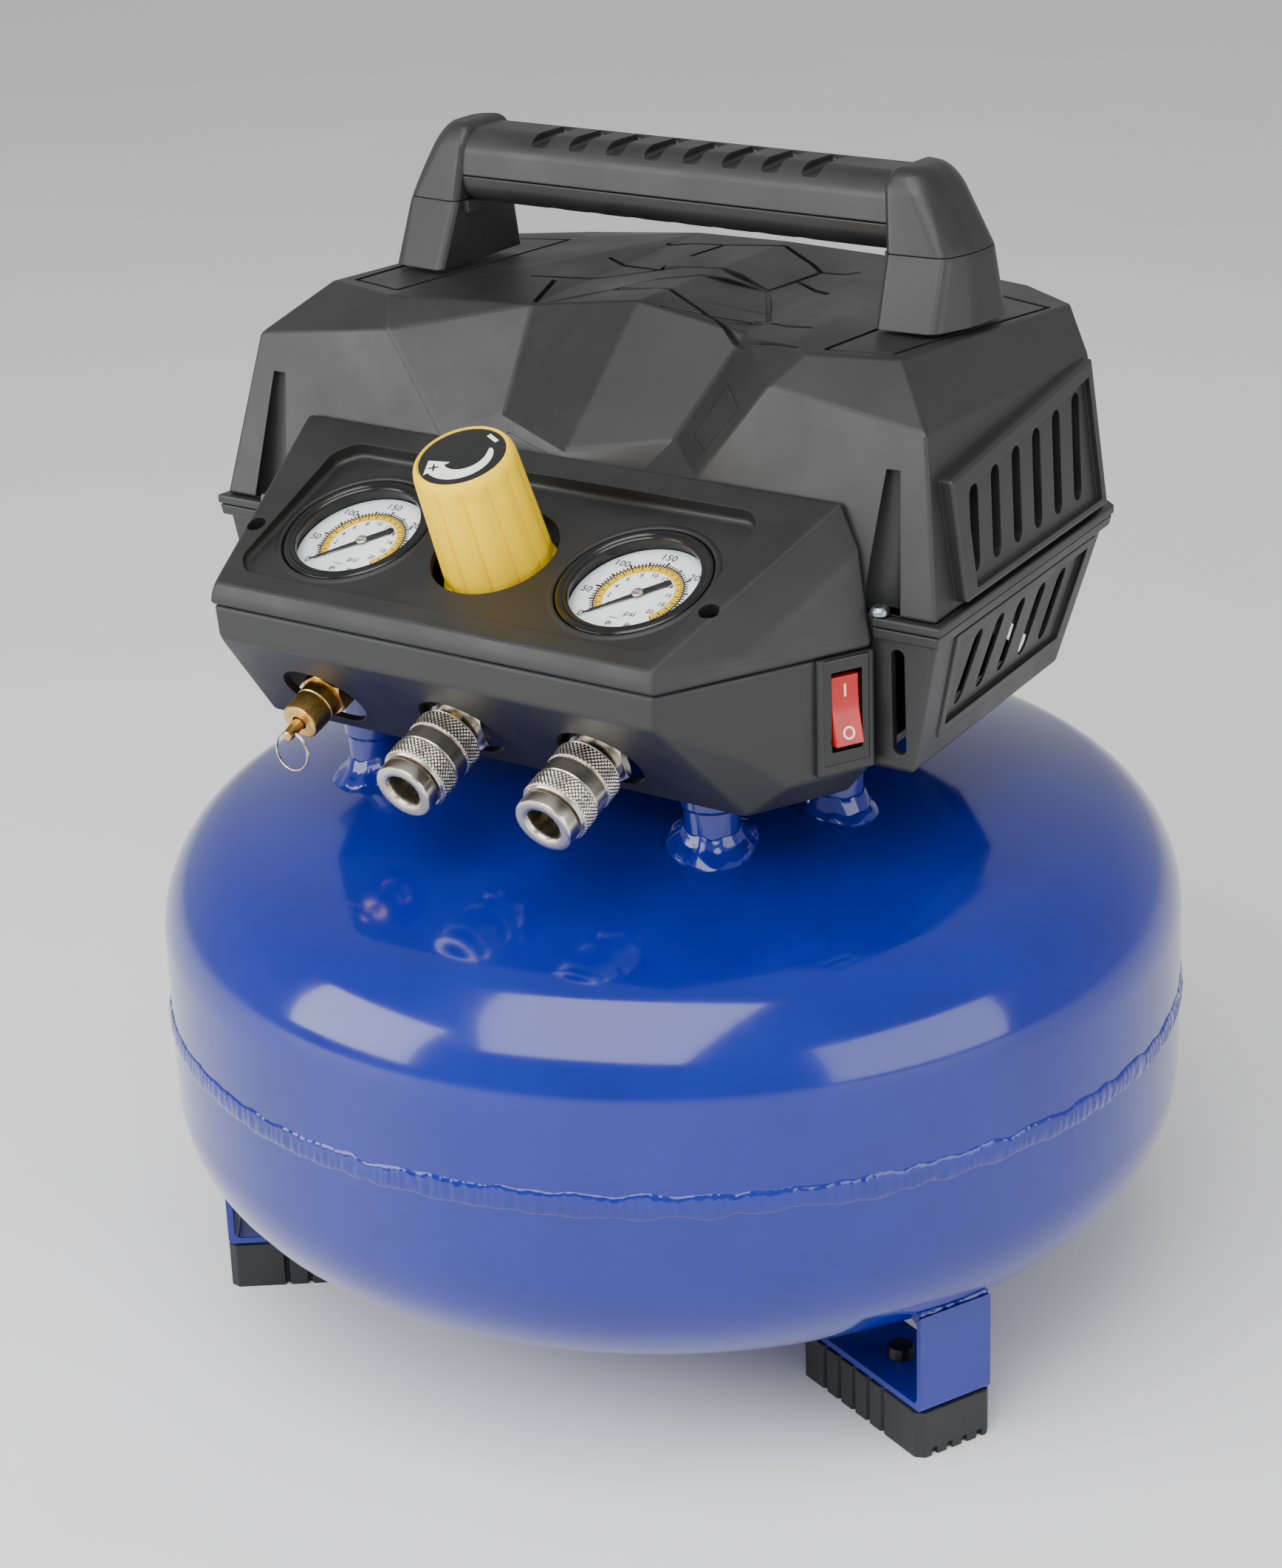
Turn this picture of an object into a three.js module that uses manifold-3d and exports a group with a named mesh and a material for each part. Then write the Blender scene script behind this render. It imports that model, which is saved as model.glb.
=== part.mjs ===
// Pancake air compressor: a low domed tank on three rubber feet, a faceted shroud with its
// motor and pump, a sloping control console and a grab handle.
// Millimetres, +Z up. Origin on the floor under the middle of the tank; the console faces -Y.
import * as THREE from "three";
import { mergeVertices } from "three/addons/utils/BufferGeometryUtils.js";
import { ConvexGeometry } from "three/addons/geometries/ConvexGeometry.js";
import Module from "manifold-3d";

const wasm = await Module();
wasm.setup();

// ---- Driving dimensions -------------------------------------------------------------------
const gap = 0.3; // air between touching pieces
const tank = {
  radius: 205,
  seamHeight: 131,
  skirt: 32.6, // straight part, seam to knuckle
  knuckle: 48.8,
  crown: 481,
  wall: 2.4,
  sides: 48,
  beadHalf: 6.3,
  beadProud: 2,
};
const foot = {
  angles: { right: -22.7, left: -142.7, rear: 97.3 },
  outer: 190,
  inner: 120,
  rubberInner: 113,
  width: 35,
  rubberHeight: 19.5,
  strip: 3,
  grooves: 6,
};
const boss = { left: -86, right: 74, front: -78, rear: 68, radius: 10.5, flange: 17 };
const deck = { bottom: 269, top: 272 }; // pump mounting plate
const shell = 3; // wall of the mouldings
const ledge = { bottom: 318.5, split: 323, top: 327, proud: 3 };
const tilt = THREE.MathUtils.degToRad(22); // slope of dials, knob and outlets
const controlOrigin = new THREE.Vector3(0, -102.3, 331.6); // foot of the knob
const gauge = { x: 63.2, y: -2, face: 1.6, floor: -1, cavity: 26.6, body: 28, bezel: 29.4 };
const knob = { foot: -4.5, height: 52, baseRadius: 21, topRadius: 18.8, flats: 12 };
const outlet = { z: -44.6, left: -7, right: 56, valve: -72 };
const wallTurn = THREE.MathUtils.degToRad(-26.2); // console side wall, seen from above
const pump = { y: 12, z: 318, throwRadius: 8, pistonX: 27 };
const handle = { front: 11, back: 44, split: 446, postSplit: 436, top: 466 };

const colour = {
  blue: [0x1c36a8, 0.25, 0.0],
  black: [0x232425, 0.55, 0.0],
  rubber: [0x161616, 0.85, 0.0],
  steel: [0x9aa0a4, 0.35, 0.9],
  zinc: [0xb9bcbe, 0.4, 0.9],
  nickel: [0xc9c4ba, 0.25, 1.0],
  brass: [0xb5893b, 0.35, 1.0],
  copper: [0xb87445, 0.35, 1.0],
  aluminium: [0xa9acae, 0.45, 0.9],
  yellow: [0xf7df12, 0.45, 0.0],
  red: [0xd31d1d, 0.3, 0.0],
  white: [0xf2f2ee, 0.6, 0.0],
  glass: [0xe8eef0, 0.05, 0.0],
};

// ---- Solids -------------------------------------------------------------------------------
// A closed geometry as a manifold solid, turned outwards if its profile ran the other way.
function solid(geometry) {
  const bare = geometry.clone();
  bare.deleteAttribute("normal");
  bare.deleteAttribute("uv");
  const merged = mergeVertices(bare, 1e-4);
  const index = [...merged.index.array];
  const kept = [];
  for (let i = 0; i < index.length; i += 3) {
    const [a, b, c] = index.slice(i, i + 3);
    if (a !== b && b !== c && a !== c) kept.push([a, b, c]);
  }
  const build = (faces) =>
    new wasm.Manifold(
      new wasm.Mesh({
        numProp: 3,
        vertProperties: new Float32Array(merged.attributes.position.array),
        triVerts: new Uint32Array(faces.flat()),
      }),
    );
  const made = build(kept);
  return made.volume() < 0 ? build(kept.map(([a, b, c]) => [a, c, b])) : made;
}

function geometryOf(made) {
  const mesh = made.getMesh();
  return new THREE.BufferGeometry()
    .setAttribute("position", new THREE.BufferAttribute(mesh.vertProperties.slice(), 3))
    .setIndex(new THREE.BufferAttribute(mesh.triVerts.slice(), 1));
}

const join = (...parts) => parts.reduce((all, part) => all.add(part));
const cut = (body, ...tools) => tools.reduce((left, tool) => left.subtract(tool), body);
const placed = (made, matrix) => solid(geometryOf(made).applyMatrix4(matrix));
const moved = (made, x, y, z) => placed(made, new THREE.Matrix4().makeTranslation(x, y, z));

function box(x0, x1, y0, y1, z0, z1) {
  const made = new THREE.BoxGeometry(x1 - x0, y1 - y0, z1 - z0);
  return solid(made.translate((x0 + x1) / 2, (y0 + y1) / 2, (z0 + z1) / 2));
}

function hull(points) {
  return solid(new ConvexGeometry(points.map((p) => new THREE.Vector3(...p))));
}

// A round bar, or a cone, from one point to another.
function rod(from, to, radius, endRadius = radius, sides = 20) {
  const a = new THREE.Vector3(...from);
  const way = new THREE.Vector3(...to).sub(a);
  const made = new THREE.CylinderGeometry(endRadius, radius, way.length(), sides);
  made.translate(0, way.length() / 2, 0);
  const up = new THREE.Vector3(0, 1, 0);
  made.applyQuaternion(new THREE.Quaternion().setFromUnitVectors(up, way.normalize()));
  return solid(made.translate(a.x, a.y, a.z));
}

// A profile of [radius, height] points turned about Z.
function turned(profile, sides = 24) {
  const points = profile.map(([r, z]) => new THREE.Vector2(r, z));
  return solid(new THREE.LatheGeometry(points, sides).rotateX(Math.PI / 2));
}

// A profile of [radius, distance] points turned about an axis that runs along local -Y.
const turnedForward = (profile, sides) =>
  placed(turned(profile, sides), new THREE.Matrix4().makeRotationX(Math.PI / 2));

function extruded(outline, depth, holes = []) {
  const shape = new THREE.Shape(outline.map(([x, y]) => new THREE.Vector2(x, y)));
  shape.holes = holes.map((hole) => new THREE.Path(hole.map(([x, y]) => new THREE.Vector2(x, y))));
  return solid(new THREE.ExtrudeGeometry(shape, { depth, bevelEnabled: false }));
}

function tube(points, radius, steps, sides = 8) {
  const circle = new THREE.Shape();
  circle.absarc(0, 0, radius, 0, 2 * Math.PI);
  const path = new THREE.CatmullRomCurve3(points.map((p) => new THREE.Vector3(...p)));
  return solid(
    new THREE.ExtrudeGeometry(circle, { extrudePath: path, steps, curveSegments: sides / 2 }),
  );
}

const hexagon = (radius) =>
  Array.from({ length: 6 }, (_, i) => [
    radius * Math.cos((i * Math.PI) / 3),
    radius * Math.sin((i * Math.PI) / 3),
  ]);

// A hexagon bar along local -Y between two distances, on the outlet line at x.
function hexBar(radius, from, to) {
  const bar = extruded(hexagon(radius), to - from);
  const stand = new THREE.Matrix4().makeRotationX(Math.PI / 2);
  return moved(placed(bar, stand), 0, -from, 0);
}

// A solid whose faces are given for the right half only; each is mirrored to the left.
function faceted(faces, shape = (p) => p) {
  const positions = [];
  const add = (polygon) => {
    for (let i = 1; i + 1 < polygon.length; i++)
      positions.push(...polygon[0], ...polygon[i], ...polygon[i + 1]);
  };
  for (const face of faces) {
    const right = face.map(shape);
    add(right);
    add(right.map(([x, y, z]) => [-x, y, z]).reverse());
  }
  const made = new THREE.BufferGeometry();
  made.setAttribute("position", new THREE.Float32BufferAttribute(positions, 3));
  return solid(made);
}

// Rings of [x, y] half outlines at given heights, joined as one convex body.
const mirrored = (points, z) => points.flatMap(([x, y]) => [[x, y, z], [-x, y, z]]);

// ---- Scene --------------------------------------------------------------------------------
const root = new THREE.Group();

function place(name, made, [hex, roughness, metalness], parent = root) {
  const material = new THREE.MeshStandardMaterial({ color: hex, roughness, metalness });
  if (hex === colour.glass[0]) {
    material.transparent = true;
    material.opacity = 0.25;
  }
  const mesh = new THREE.Mesh(geometryOf(made), material);
  mesh.name = name;
  parent.add(mesh);
  return mesh;
}

// ---- Tank ---------------------------------------------------------------------------------
// Half section of a dished head above the seam: crown arc, knuckle arc, straight skirt.
function headArc(inset, crownSteps, knuckleSteps, foot0) {
  const reach = tank.crown - tank.knuckle;
  const side = tank.radius - tank.knuckle;
  const centre = tank.skirt - Math.sqrt(reach ** 2 - side ** 2);
  const meet = Math.asin(side / reach);
  const points = [];
  for (let i = 0; i <= crownSteps; i++) {
    const a = (meet * i) / crownSteps;
    const r = tank.crown - inset;
    points.push([i ? r * Math.sin(a) : 0, centre + r * Math.cos(a)]);
  }
  for (let i = 1; i <= knuckleSteps; i++) {
    const a = meet + ((Math.PI / 2 - meet) * i) / knuckleSteps;
    const r = tank.knuckle - inset;
    points.push([side + r * Math.sin(a), tank.skirt + r * Math.cos(a)]);
  }
  points.push([tank.radius - inset, foot0]);
  return points;
}

function headShell() {
  const start = gap / 2;
  const outside = headArc(0, 4, 4, start);
  const inside = headArc(tank.wall, 3, 3, start);
  return turned([...outside, ...inside.reverse()], tank.sides);
}

const headTop = (r) =>
  tank.seamHeight +
  tank.skirt -
  Math.sqrt((tank.crown - tank.knuckle) ** 2 - (tank.radius - tank.knuckle) ** 2) +
  Math.sqrt(tank.crown ** 2 - r ** 2);

// A post for the pump deck, with its weld collar, and the threaded inlet for the check valve.
function bossAt(x, y, top, radius = boss.radius) {
  const base = headTop(Math.hypot(x, y));
  return join(
    rod([x, y, base - 3], [x, y, top], radius, radius, 16),
    rod([x, y, base - 3.5], [x, y, base + 5], boss.flange, radius + 2, 16),
  );
}

const inlet = { x: 95, y: -26, top: 246 };
let upperHead = moved(headShell(), 0, 0, tank.seamHeight);
for (const x of [boss.left, boss.right])
  for (const y of [boss.front, boss.rear])
    upperHead = upperHead.add(bossAt(x, y, deck.bottom - gap));
upperHead = upperHead.add(bossAt(inlet.x, inlet.y, inlet.top, 11));
place("tank_upper_head", upperHead, colour.blue);

const flip = new THREE.Matrix4().makeScale(1, 1, -1);
const drainHole = rod([0, 0, 0], [0, 0, 60], 5 + gap);
const lowerHead = moved(placed(headShell(), flip), 0, 0, tank.seamHeight);
place("tank_lower_head", cut(lowerHead, drainHole), colour.blue);

const beadInner = tank.radius + gap;
const bead = turned(
  [
    [beadInner, -tank.beadHalf],
    [tank.radius + tank.beadProud, -tank.beadHalf * 0.45],
    [tank.radius + tank.beadProud, tank.beadHalf * 0.45],
    [beadInner, tank.beadHalf],
    [beadInner, -tank.beadHalf],
  ],
  tank.sides,
);
place("weld_bead", moved(bead, 0, 0, tank.seamHeight), colour.blue);

// ---- Feet ---------------------------------------------------------------------------------
const underHead = (r) => {
  const inKnuckle = r - (tank.radius - tank.knuckle);
  return tank.seamHeight - tank.skirt - Math.sqrt(tank.knuckle ** 2 - inKnuckle ** 2);
};
const dishUnder = (r) => 2 * tank.seamHeight - headTop(r);

function footBracket() {
  const base = foot.rubberHeight + gap;
  const low = base + foot.strip;
  const outerTop = underHead(foot.outer) - 0.8;
  const outerTopIn = underHead(foot.outer - foot.strip) - 0.8;
  const innerTop = dishUnder(foot.inner + 2) - 0.8;
  const bend = 5;
  const section = [
    [foot.inner + 2, base + bend],
    [foot.inner + 2 + bend, base],
    [foot.outer - bend, base],
    [foot.outer, base + bend],
    [foot.outer, outerTop],
    [foot.outer - foot.strip, outerTopIn],
    [foot.outer - foot.strip, low + 3],
    [foot.outer - foot.strip - 3, low],
    [foot.inner + foot.strip + 5, low],
    [foot.inner + foot.strip + 2, low + 3],
    [foot.inner + foot.strip + 2, innerTop - 1],
    [foot.inner + 2, innerTop - 1],
  ];
  const strip = extruded(section, foot.width - 2);
  const turn = new THREE.Matrix4().makeRotationX(Math.PI / 2);
  return cut(
    moved(placed(strip, turn), 0, foot.width / 2 - 1, 0),
    rod([155, 0, 0], [155, 0, 40], 3 + gap),
  );
}

function rubberFoot() {
  const half = foot.width / 2;
  const depth = 1.6;
  const pitch = (foot.outer - foot.rubberInner - 8) / foot.grooves;
  const side = [];
  for (let i = 0; i < foot.grooves; i++) {
    const x = foot.rubberInner + 4 + pitch * (i + 0.5);
    side.push([x - 1.5, half], [x, half - depth], [x + 1.5, half]);
  }
  const outline = [
    [foot.rubberInner + 2, half],
    ...side,
    [foot.outer - 2, half],
    [foot.outer, half - 3],
    [foot.outer, 3 - half],
    [foot.outer - 2, -half],
    ...side.map(([x, y]) => [x, -y]).reverse(),
    [foot.rubberInner + 2, -half],
    [foot.rubberInner, 3 - half],
    [foot.rubberInner, half - 3],
  ];
  return cut(
    extruded(outline, foot.rubberHeight),
    rod([155, 0, 6], [155, 0, 40], 3 + gap),
  );
}

const footScrew = join(
  rod([155, 0, 7], [155, 0, foot.rubberHeight + foot.strip + 1], 3, 3, 12),
  rod(
    [155, 0, foot.rubberHeight + foot.strip + 2 * gap],
    [155, 0, foot.rubberHeight + foot.strip + 5],
    5.5,
    5,
    12,
  ),
);

for (const [side, degrees] of Object.entries(foot.angles)) {
  const group = new THREE.Group();
  group.rotation.z = THREE.MathUtils.degToRad(degrees);
  root.add(group);
  place("foot_bracket_" + side, footBracket(), colour.blue, group);
  place("rubber_foot_" + side, rubberFoot(), colour.rubber, group);
  place("foot_screw_" + side, footScrew, colour.steel, group);
}

// ---- Drain valve --------------------------------------------------------------------------
const tankFloor = dishUnder(0);
place(
  "drain_body",
  cut(
    join(
      rod([0, 0, 9], [0, 0, tankFloor - gap], 8, 8, 6),
      rod([0, 0, 12], [0, 0, tankFloor + 6], 5, 5, 16),
    ),
    rod([0, 0, 8], [0, 0, 16], 3, 3, 12),
  ),
  colour.brass,
);
place(
  "drain_screw",
  join(rod([0, 0, 3], [0, 0, 15], 2.6, 2.6, 12), box(-8, 8, -1.5, 1.5, 2.5, 8)),
  colour.brass,
);

// ---- Shroud -------------------------------------------------------------------------------
// Half outlines seen from above, right side, front to rear.
const rimOutline = [[163.5, -67.5], [149, 85], [108, 121]];
const flangeOutline = rimOutline.map(([x, y], i) => [
  x + ledge.proud - (i === 2 ? 1 : 0),
  y + (i === 0 ? -ledge.proud : ledge.proud),
]);
const baseOutline = [[153, -66], [141, 63], [100, 98]];

// Corner points of the upper cover, right half.
const top = {
  crest: [0, -10, 411.5],
  crestSide: [49, -10, 404.5],
  noseSide: [39, -45, 371],
  nose: [0, -60, 366],
  browIn: [87, -54, 400],
  browOut: [152, -54, 391],
  padIn: [95, -42, 410],
  padOut: [130, -33, 410],
  padBackIn: [95, 88, 406],
  padBackOut: [133, 86, 404],
  shoulderBack: [142, 84, 386],
  rearFin: [104, 106, 403.5],
  rearCrest: [42, 96, 411.5],
  rearCrestMid: [0, 96, 412.5],
  cheek: [58, -60.1, 362],
  cheekFoot: [58, -67.5, ledge.top],
  front: [163.5, -67.5, ledge.top],
  side: [149, 85, ledge.top],
  rear: [108, 121, ledge.top],
  rearMid: [0, 121, ledge.top],
  frontMid: [0, -67.5, ledge.top],
};
const coverFaces = [
  ["crest", "crestSide", "rearCrest", "rearCrestMid"],
  ["crestSide", "padIn", "padBackIn", "rearCrest"],
  ["crestSide", "browIn", "padIn"],
  ["padIn", "padOut", "padBackOut", "padBackIn"],
  ["padBackIn", "rearFin", "rearCrest"],
  ["padBackIn", "padBackOut", "rearFin"],
  ["crest", "nose", "noseSide", "crestSide"],
  ["crestSide", "noseSide", "cheek", "browIn"],
  ["browIn", "browOut", "padOut", "padIn"],
  ["browIn", "cheek", "cheekFoot", "front", "browOut"],
  ["nose", "frontMid", "cheekFoot", "cheek", "noseSide"],
  ["padOut", "browOut", "shoulderBack", "padBackOut"],
  ["browOut", "front", "side", "shoulderBack"],
  ["shoulderBack", "side", "rear", "rearFin", "padBackOut"],
  ["rearFin", "rear", "rearMid", "rearCrestMid", "rearCrest"],
  ["frontMid", "rearMid", "rear", "side", "front", "cheekFoot"],
].map((names) => names.map((name) => top[name]));

const coverMiddle = 27;
const shrunk = ([x, y, z]) => [
  x * (1 - shell / 150),
  coverMiddle + (y - coverMiddle) * (1 - shell / 92),
  z > ledge.top ? z - shell : ledge.split - 3,
];

// The raised louvre frame on the cover's side, its sunk panel and its upright slots.
const vent = { front: -50, rear: 79, low: 330, topFront: 374, topRear: 386 };
const ventX = (y, z) => 165.6 - (y + 67) * 0.094 - (z - ledge.top) * 0.14;
function ventSlab(inset, raise) {
  const corners = [
    [vent.front + inset, vent.low + inset * 0.5],
    [vent.rear - inset, vent.low + inset * 0.5],
    [vent.rear - inset, vent.topRear - inset],
    [vent.front + inset, vent.topFront - inset],
  ];
  const slab = corners.flatMap(([y, z]) => [
    [ventX(y, z) + raise, y, z],
    [ventX(y, z) - 7, y, z],
  ]);
  return hull(slab);
}
function ventSlots() {
  const slots = [];
  for (let i = 0; i < 6; i++) {
    const y = vent.front + 14.5 + i * 18.5;
    const low = vent.low + 7;
    const high = vent.topFront - 8 + (y - vent.front) * 0.093;
    const lean = (high - low) * 0.2;
    slots.push(
      hull([
        [130, y - 4, low], [130, y + 4, low], [175, y - 4, low], [175, y + 4, low],
        [130, y - 4 + lean, high], [130, y + 4 + lean, high],
        [175, y - 4 + lean, high], [175, y + 4 + lean, high],
      ]),
    );
  }
  return slots;
}

// Tapered pocket over each cover screw.
const pocket = { x: 141, y: -69.5, topX: 147, topY: -56.5, top: 384 };
const screwY = -67.9;
const pocketCone = (extra) =>
  rod(
    [pocket.x, pocket.y, ledge.top - (extra ? 4 : -0.3)],
    [pocket.topX, pocket.topY, pocket.top + extra],
    8 + extra,
    3 + extra,
    16,
  );

const mirrorX = new THREE.Matrix4().makeScale(-1, 1, 1);
const bothSides = (made) => made.add(placed(made, mirrorX));

function upperCover() {
  const outside = faceted(coverFaces);
  const inside = faceted(coverFaces, shrunk);
  let cover = cut(outside, inside);
  cover = cover.add(outside.intersect(bothSides(pocketCone(3))));
  const flange = hull([
    ...mirrored(flangeOutline, ledge.split + gap / 2),
    ...mirrored(flangeOutline, ledge.top - 1.5),
    ...mirrored(rimOutline, ledge.top + 0.5),
  ]);
  const well = hull([
    ...mirrored(rimOutline.map(([x, y]) => [x - shell, y * 0.96]), ledge.split - 2),
    ...mirrored(rimOutline.map(([x, y]) => [x - shell, y * 0.96]), ledge.top + 4),
  ]);
  cover = cover.add(cut(flange, well));
  cover = cover.add(bothSides(cut(ventSlab(0, 2.6), ventSlabPanel())));
  cover = cut(cover, bothSides(pocketCone(0)));
  for (const slot of ventSlots()) cover = cut(cover, bothSides(slot));
  const screwHole = rod([pocket.x, screwY, 320], [pocket.x, screwY, 332], 2.1, 2.1, 12);
  const consoleBay = box(-139.4, 139.4, -80, -67.8, 310, ledge.top + 1);
  return cut(cover, bothSides(screwHole), consoleBay);
}

// The sunk panel is the frame's face pushed back by its raise.
function ventSlabPanel() {
  const depth = 2.4;
  const inner = ventSlab(6, 10);
  const back = ventSlab(0, 2.6 - depth);
  return cut(inner, back);
}
place("upper_cover", upperCover(), colour.black);

for (const [side, sign] of [["left", -1], ["right", 1]])
  place(
    "cover_screw_" + side,
    join(
      rod([sign * pocket.x, screwY, 324], [sign * pocket.x, screwY, 328], 1.8, 1.8, 12),
      rod([sign * pocket.x, screwY, ledge.top + 0.7], [sign * pocket.x, screwY, 330.5], 3.6, 3, 12),
    ),
    colour.steel,
  );

// Lower cover: a tapering skirt with a slanted louvre panel each side, open to the console.
const insetPlan = ([x, y]) => [x * 0.98, coverMiddle + (y - coverMiddle) * 0.967];
const skirtX = (y, z) => {
  const t = (ledge.bottom - z) / (ledge.bottom - 268);
  return 163.5 - 10.5 * t - (y + 67) * (0.095 - 0.002 * t);
};
function skirtSlab(corners, from, to) {
  return hull(
    corners.flatMap(([y, z]) => [
      [skirtX(y, z) + from, y, z],
      [skirtX(y, z) + to, y, z],
    ]),
  );
}
const gland = { x: 60, z: 296, radius: 9 };

function lowerCover() {
  const outside = hull([
    ...mirrored(rimOutline, ledge.bottom + 1),
    ...mirrored(baseOutline, 268),
  ]);
  const inside = hull([
    ...mirrored(rimOutline.map(insetPlan), ledge.split + 2),
    ...mirrored(rimOutline.map(insetPlan), ledge.bottom),
    ...mirrored(baseOutline.map(insetPlan), 267.9),
    ...mirrored(baseOutline.map(insetPlan), 262),
  ]);
  const flange = hull([
    ...mirrored(flangeOutline.map(([x, y]) => [x - 0.6, y * 0.994]), ledge.split - gap / 2),
    ...mirrored(flangeOutline.map(([x, y]) => [x - 1.4, y * 0.988]), ledge.bottom),
  ]);
  let cover = cut(outside.add(flange), inside);
  const sunk = [[-46, 283], [-46, 313], [70, 313], [56, 283]];
  cover = cut(cover, bothSides(skirtSlab(sunk, -1.2, 5)));
  for (let i = 0; i < 5; i++) {
    const y = -38 + i * 19;
    const slot = [[y - 1, 286], [y + 6, 286], [y + 15, 310], [y + 8, 310]];
    cover = cut(cover, bothSides(skirtSlab(slot, -15, 5)));
  }
  const opening = box(-104, 104, -80, -50, 260, ledge.split + 3);
  const consoleBay = box(-139.4, 139.4, -80, -67.8, 260, ledge.split + 3);
  const glandHole = rod([gland.x, 90, gland.z], [gland.x, 130, gland.z], gland.radius + gap);
  const frontSlots = bothSides(box(145, 150.5, -75, -60, 275, 315));
  return cut(cover, opening, consoleBay, glandHole, frontSlots);
}
place("lower_cover", lowerCover(), colour.black);

place(
  "cord_gland",
  cut(
    join(
      rod([gland.x, 100, gland.z], [gland.x, 122, gland.z], gland.radius),
      rod([gland.x, 118, gland.z], [gland.x, 124, gland.z], gland.radius + 3),
    ),
    rod([gland.x, 90, gland.z], [gland.x, 130, gland.z], 4.5),
  ),
  colour.rubber,
);

// ---- Console ------------------------------------------------------------------------------
const panel = {
  frontMid: [0, -149, 324],
  corner: [99, -149, 324],
  back: [122, -61.2, 364],
  backMid: [0, -61.2, 364],
  bend: [116, -117, 322],
  bevelBack: [131, -64.1, 349],
  rimFrontMid: [0, -150.5, 318.5],
  rimFront: [100.5, -150.5, 318.5],
  rimSide: [138.7, -70, 318.5],
  baseFrontMid: [0, -150.5, 315.3],
  baseFront: [100.7, -150.5, 315.3],
  baseSide: [139, -70, 315.3],
  baseMid: [0, -70, 315.3],
};
const panelFaces = [
  ["frontMid", "corner", "back", "backMid"],
  ["corner", "bend", "bevelBack", "back"],
  ["frontMid", "rimFrontMid", "rimFront", "corner"],
  ["bend", "corner", "rimFront", "rimSide", "bevelBack"],
  ["rimFrontMid", "baseFrontMid", "baseFront", "rimFront"],
  ["rimFront", "baseFront", "baseSide", "rimSide"],
  ["baseFrontMid", "baseMid", "baseSide", "baseFront"],
  ["backMid", "back", "bevelBack", "rimSide", "baseSide", "baseMid"],
].map((names) => names.map((name) => panel[name]));
const panelHollow = ([x, y, z]) => [
  x * (1 - shell / 118),
  y < -100 ? y + shell + 0.5 : y + 10,
  z < 318.6 ? z - 6 : z - shell,
];

const control = new THREE.Group();
control.position.copy(controlOrigin);
control.rotation.x = tilt;
control.updateMatrix();
root.add(control);
const inControl = (made) => placed(made, control.matrix);

const recess = { half: 97, front: -38, back: 38.4, floor: 8, chamfer: 6 };
function recessBlock(extra, low, high) {
  const h = recess.half + extra;
  const front = recess.front - extra;
  const back = recess.back + extra;
  const c = recess.chamfer;
  const outline = [
    [h, front + c],
    [h, back - c],
    [h - c, back],
    [c - h, back],
    [-h, back - c],
    [-h, front + c],
    [c - h, front],
    [h - c, front],
  ];
  return inControl(moved(extruded(outline, high - low), 0, 0, low));
}

function consolePanel() {
  const outside = faceted(panelFaces);
  let made = cut(outside, faceted(panelFaces, panelHollow));
  made = made.add(outside.intersect(recessBlock(3, recess.floor - 3, 40)));
  made = cut(made, recessBlock(0, recess.floor, 40));
  const gaugeHole = gauge.bezel + gap;
  const holes = [-1, 1].flatMap((sign) => [
    inControl(
      rod([sign * gauge.x, gauge.y, -10], [sign * gauge.x, gauge.y, 30], gaugeHole, gaugeHole, 28),
    ),
    rod([sign * 103, -113, 323], [sign * 103, -124, 350], 3.6, 3.6, 14),
  ]);
  const knobHole = inControl(rod([0, 0, -20], [0, 0, 40], 25, 25, 28));
  return cut(made, ...holes, knobHole);
}
place("console_panel", consolePanel(), colour.black);

const housing = {
  topFrontMid: [0, -149.5, 315],
  topFront: [99.8, -149.5, 315],
  topSide: [138.4, -68.6, 315],
  topMid: [0, -68.6, 315],
  bandMid: [0, -149, 302],
  band: [99, -149, 302],
  chin: [115.5, -115, 283],
  low: [123, -99, 269],
  lowSide: [138, -68.6, 270],
  foot: [110, -109, 258],
  footMid: [0, -109, 258],
  footBack: [128, -68.6, 258],
  footBackMid: [0, -68.6, 258],
};
const housingFaces = [
  ["topFrontMid", "topFront", "topSide", "topMid"],
  ["topFrontMid", "bandMid", "band", "topFront"],
  ["bandMid", "footMid", "foot", "band"],
  ["band", "foot", "low", "chin"],
  ["topFront", "band", "chin", "low", "lowSide", "topSide"],
  ["foot", "footBack", "lowSide", "low"],
  ["footMid", "footBackMid", "footBack", "foot"],
  ["topMid", "topSide", "lowSide", "footBack", "footBackMid"],
].map((names) => names.map((name) => housing[name]));
const housingHollow = ([x, y, z]) => {
  const inX = x * (1 - shell / 110);
  const rear = y > -80;
  if (z <= 258) return [inX, rear ? -60 : -98, 250];
  if (z >= 315) return [inX, rear ? -60 : y + shell, 325];
  return [inX, rear ? -60 : y + 2.4, z + 2];
};

const switchBox = new THREE.Group();
switchBox.position.set(133.6, -80.3, 294.5);
switchBox.rotation.z = wallTurn;
switchBox.updateMatrix();
root.add(switchBox);

function consoleHousing() {
  let made = cut(faceted(housingFaces), faceted(housingFaces, housingHollow));
  for (const x of [outlet.valve, outlet.left, outlet.right]) {
    const z = outlet.z + 2;
    made = cut(made, inControl(rod([x + 3, -20, z], [x + 3, -75, z], 17, 17, 24)));
  }
  const cutout = placed(box(-20, 8, -8.3, 8.3, -17.3, 17.3), switchBox.matrix);
  return cut(made, cutout);
}
place("console_housing", consoleHousing(), colour.black);

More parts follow.
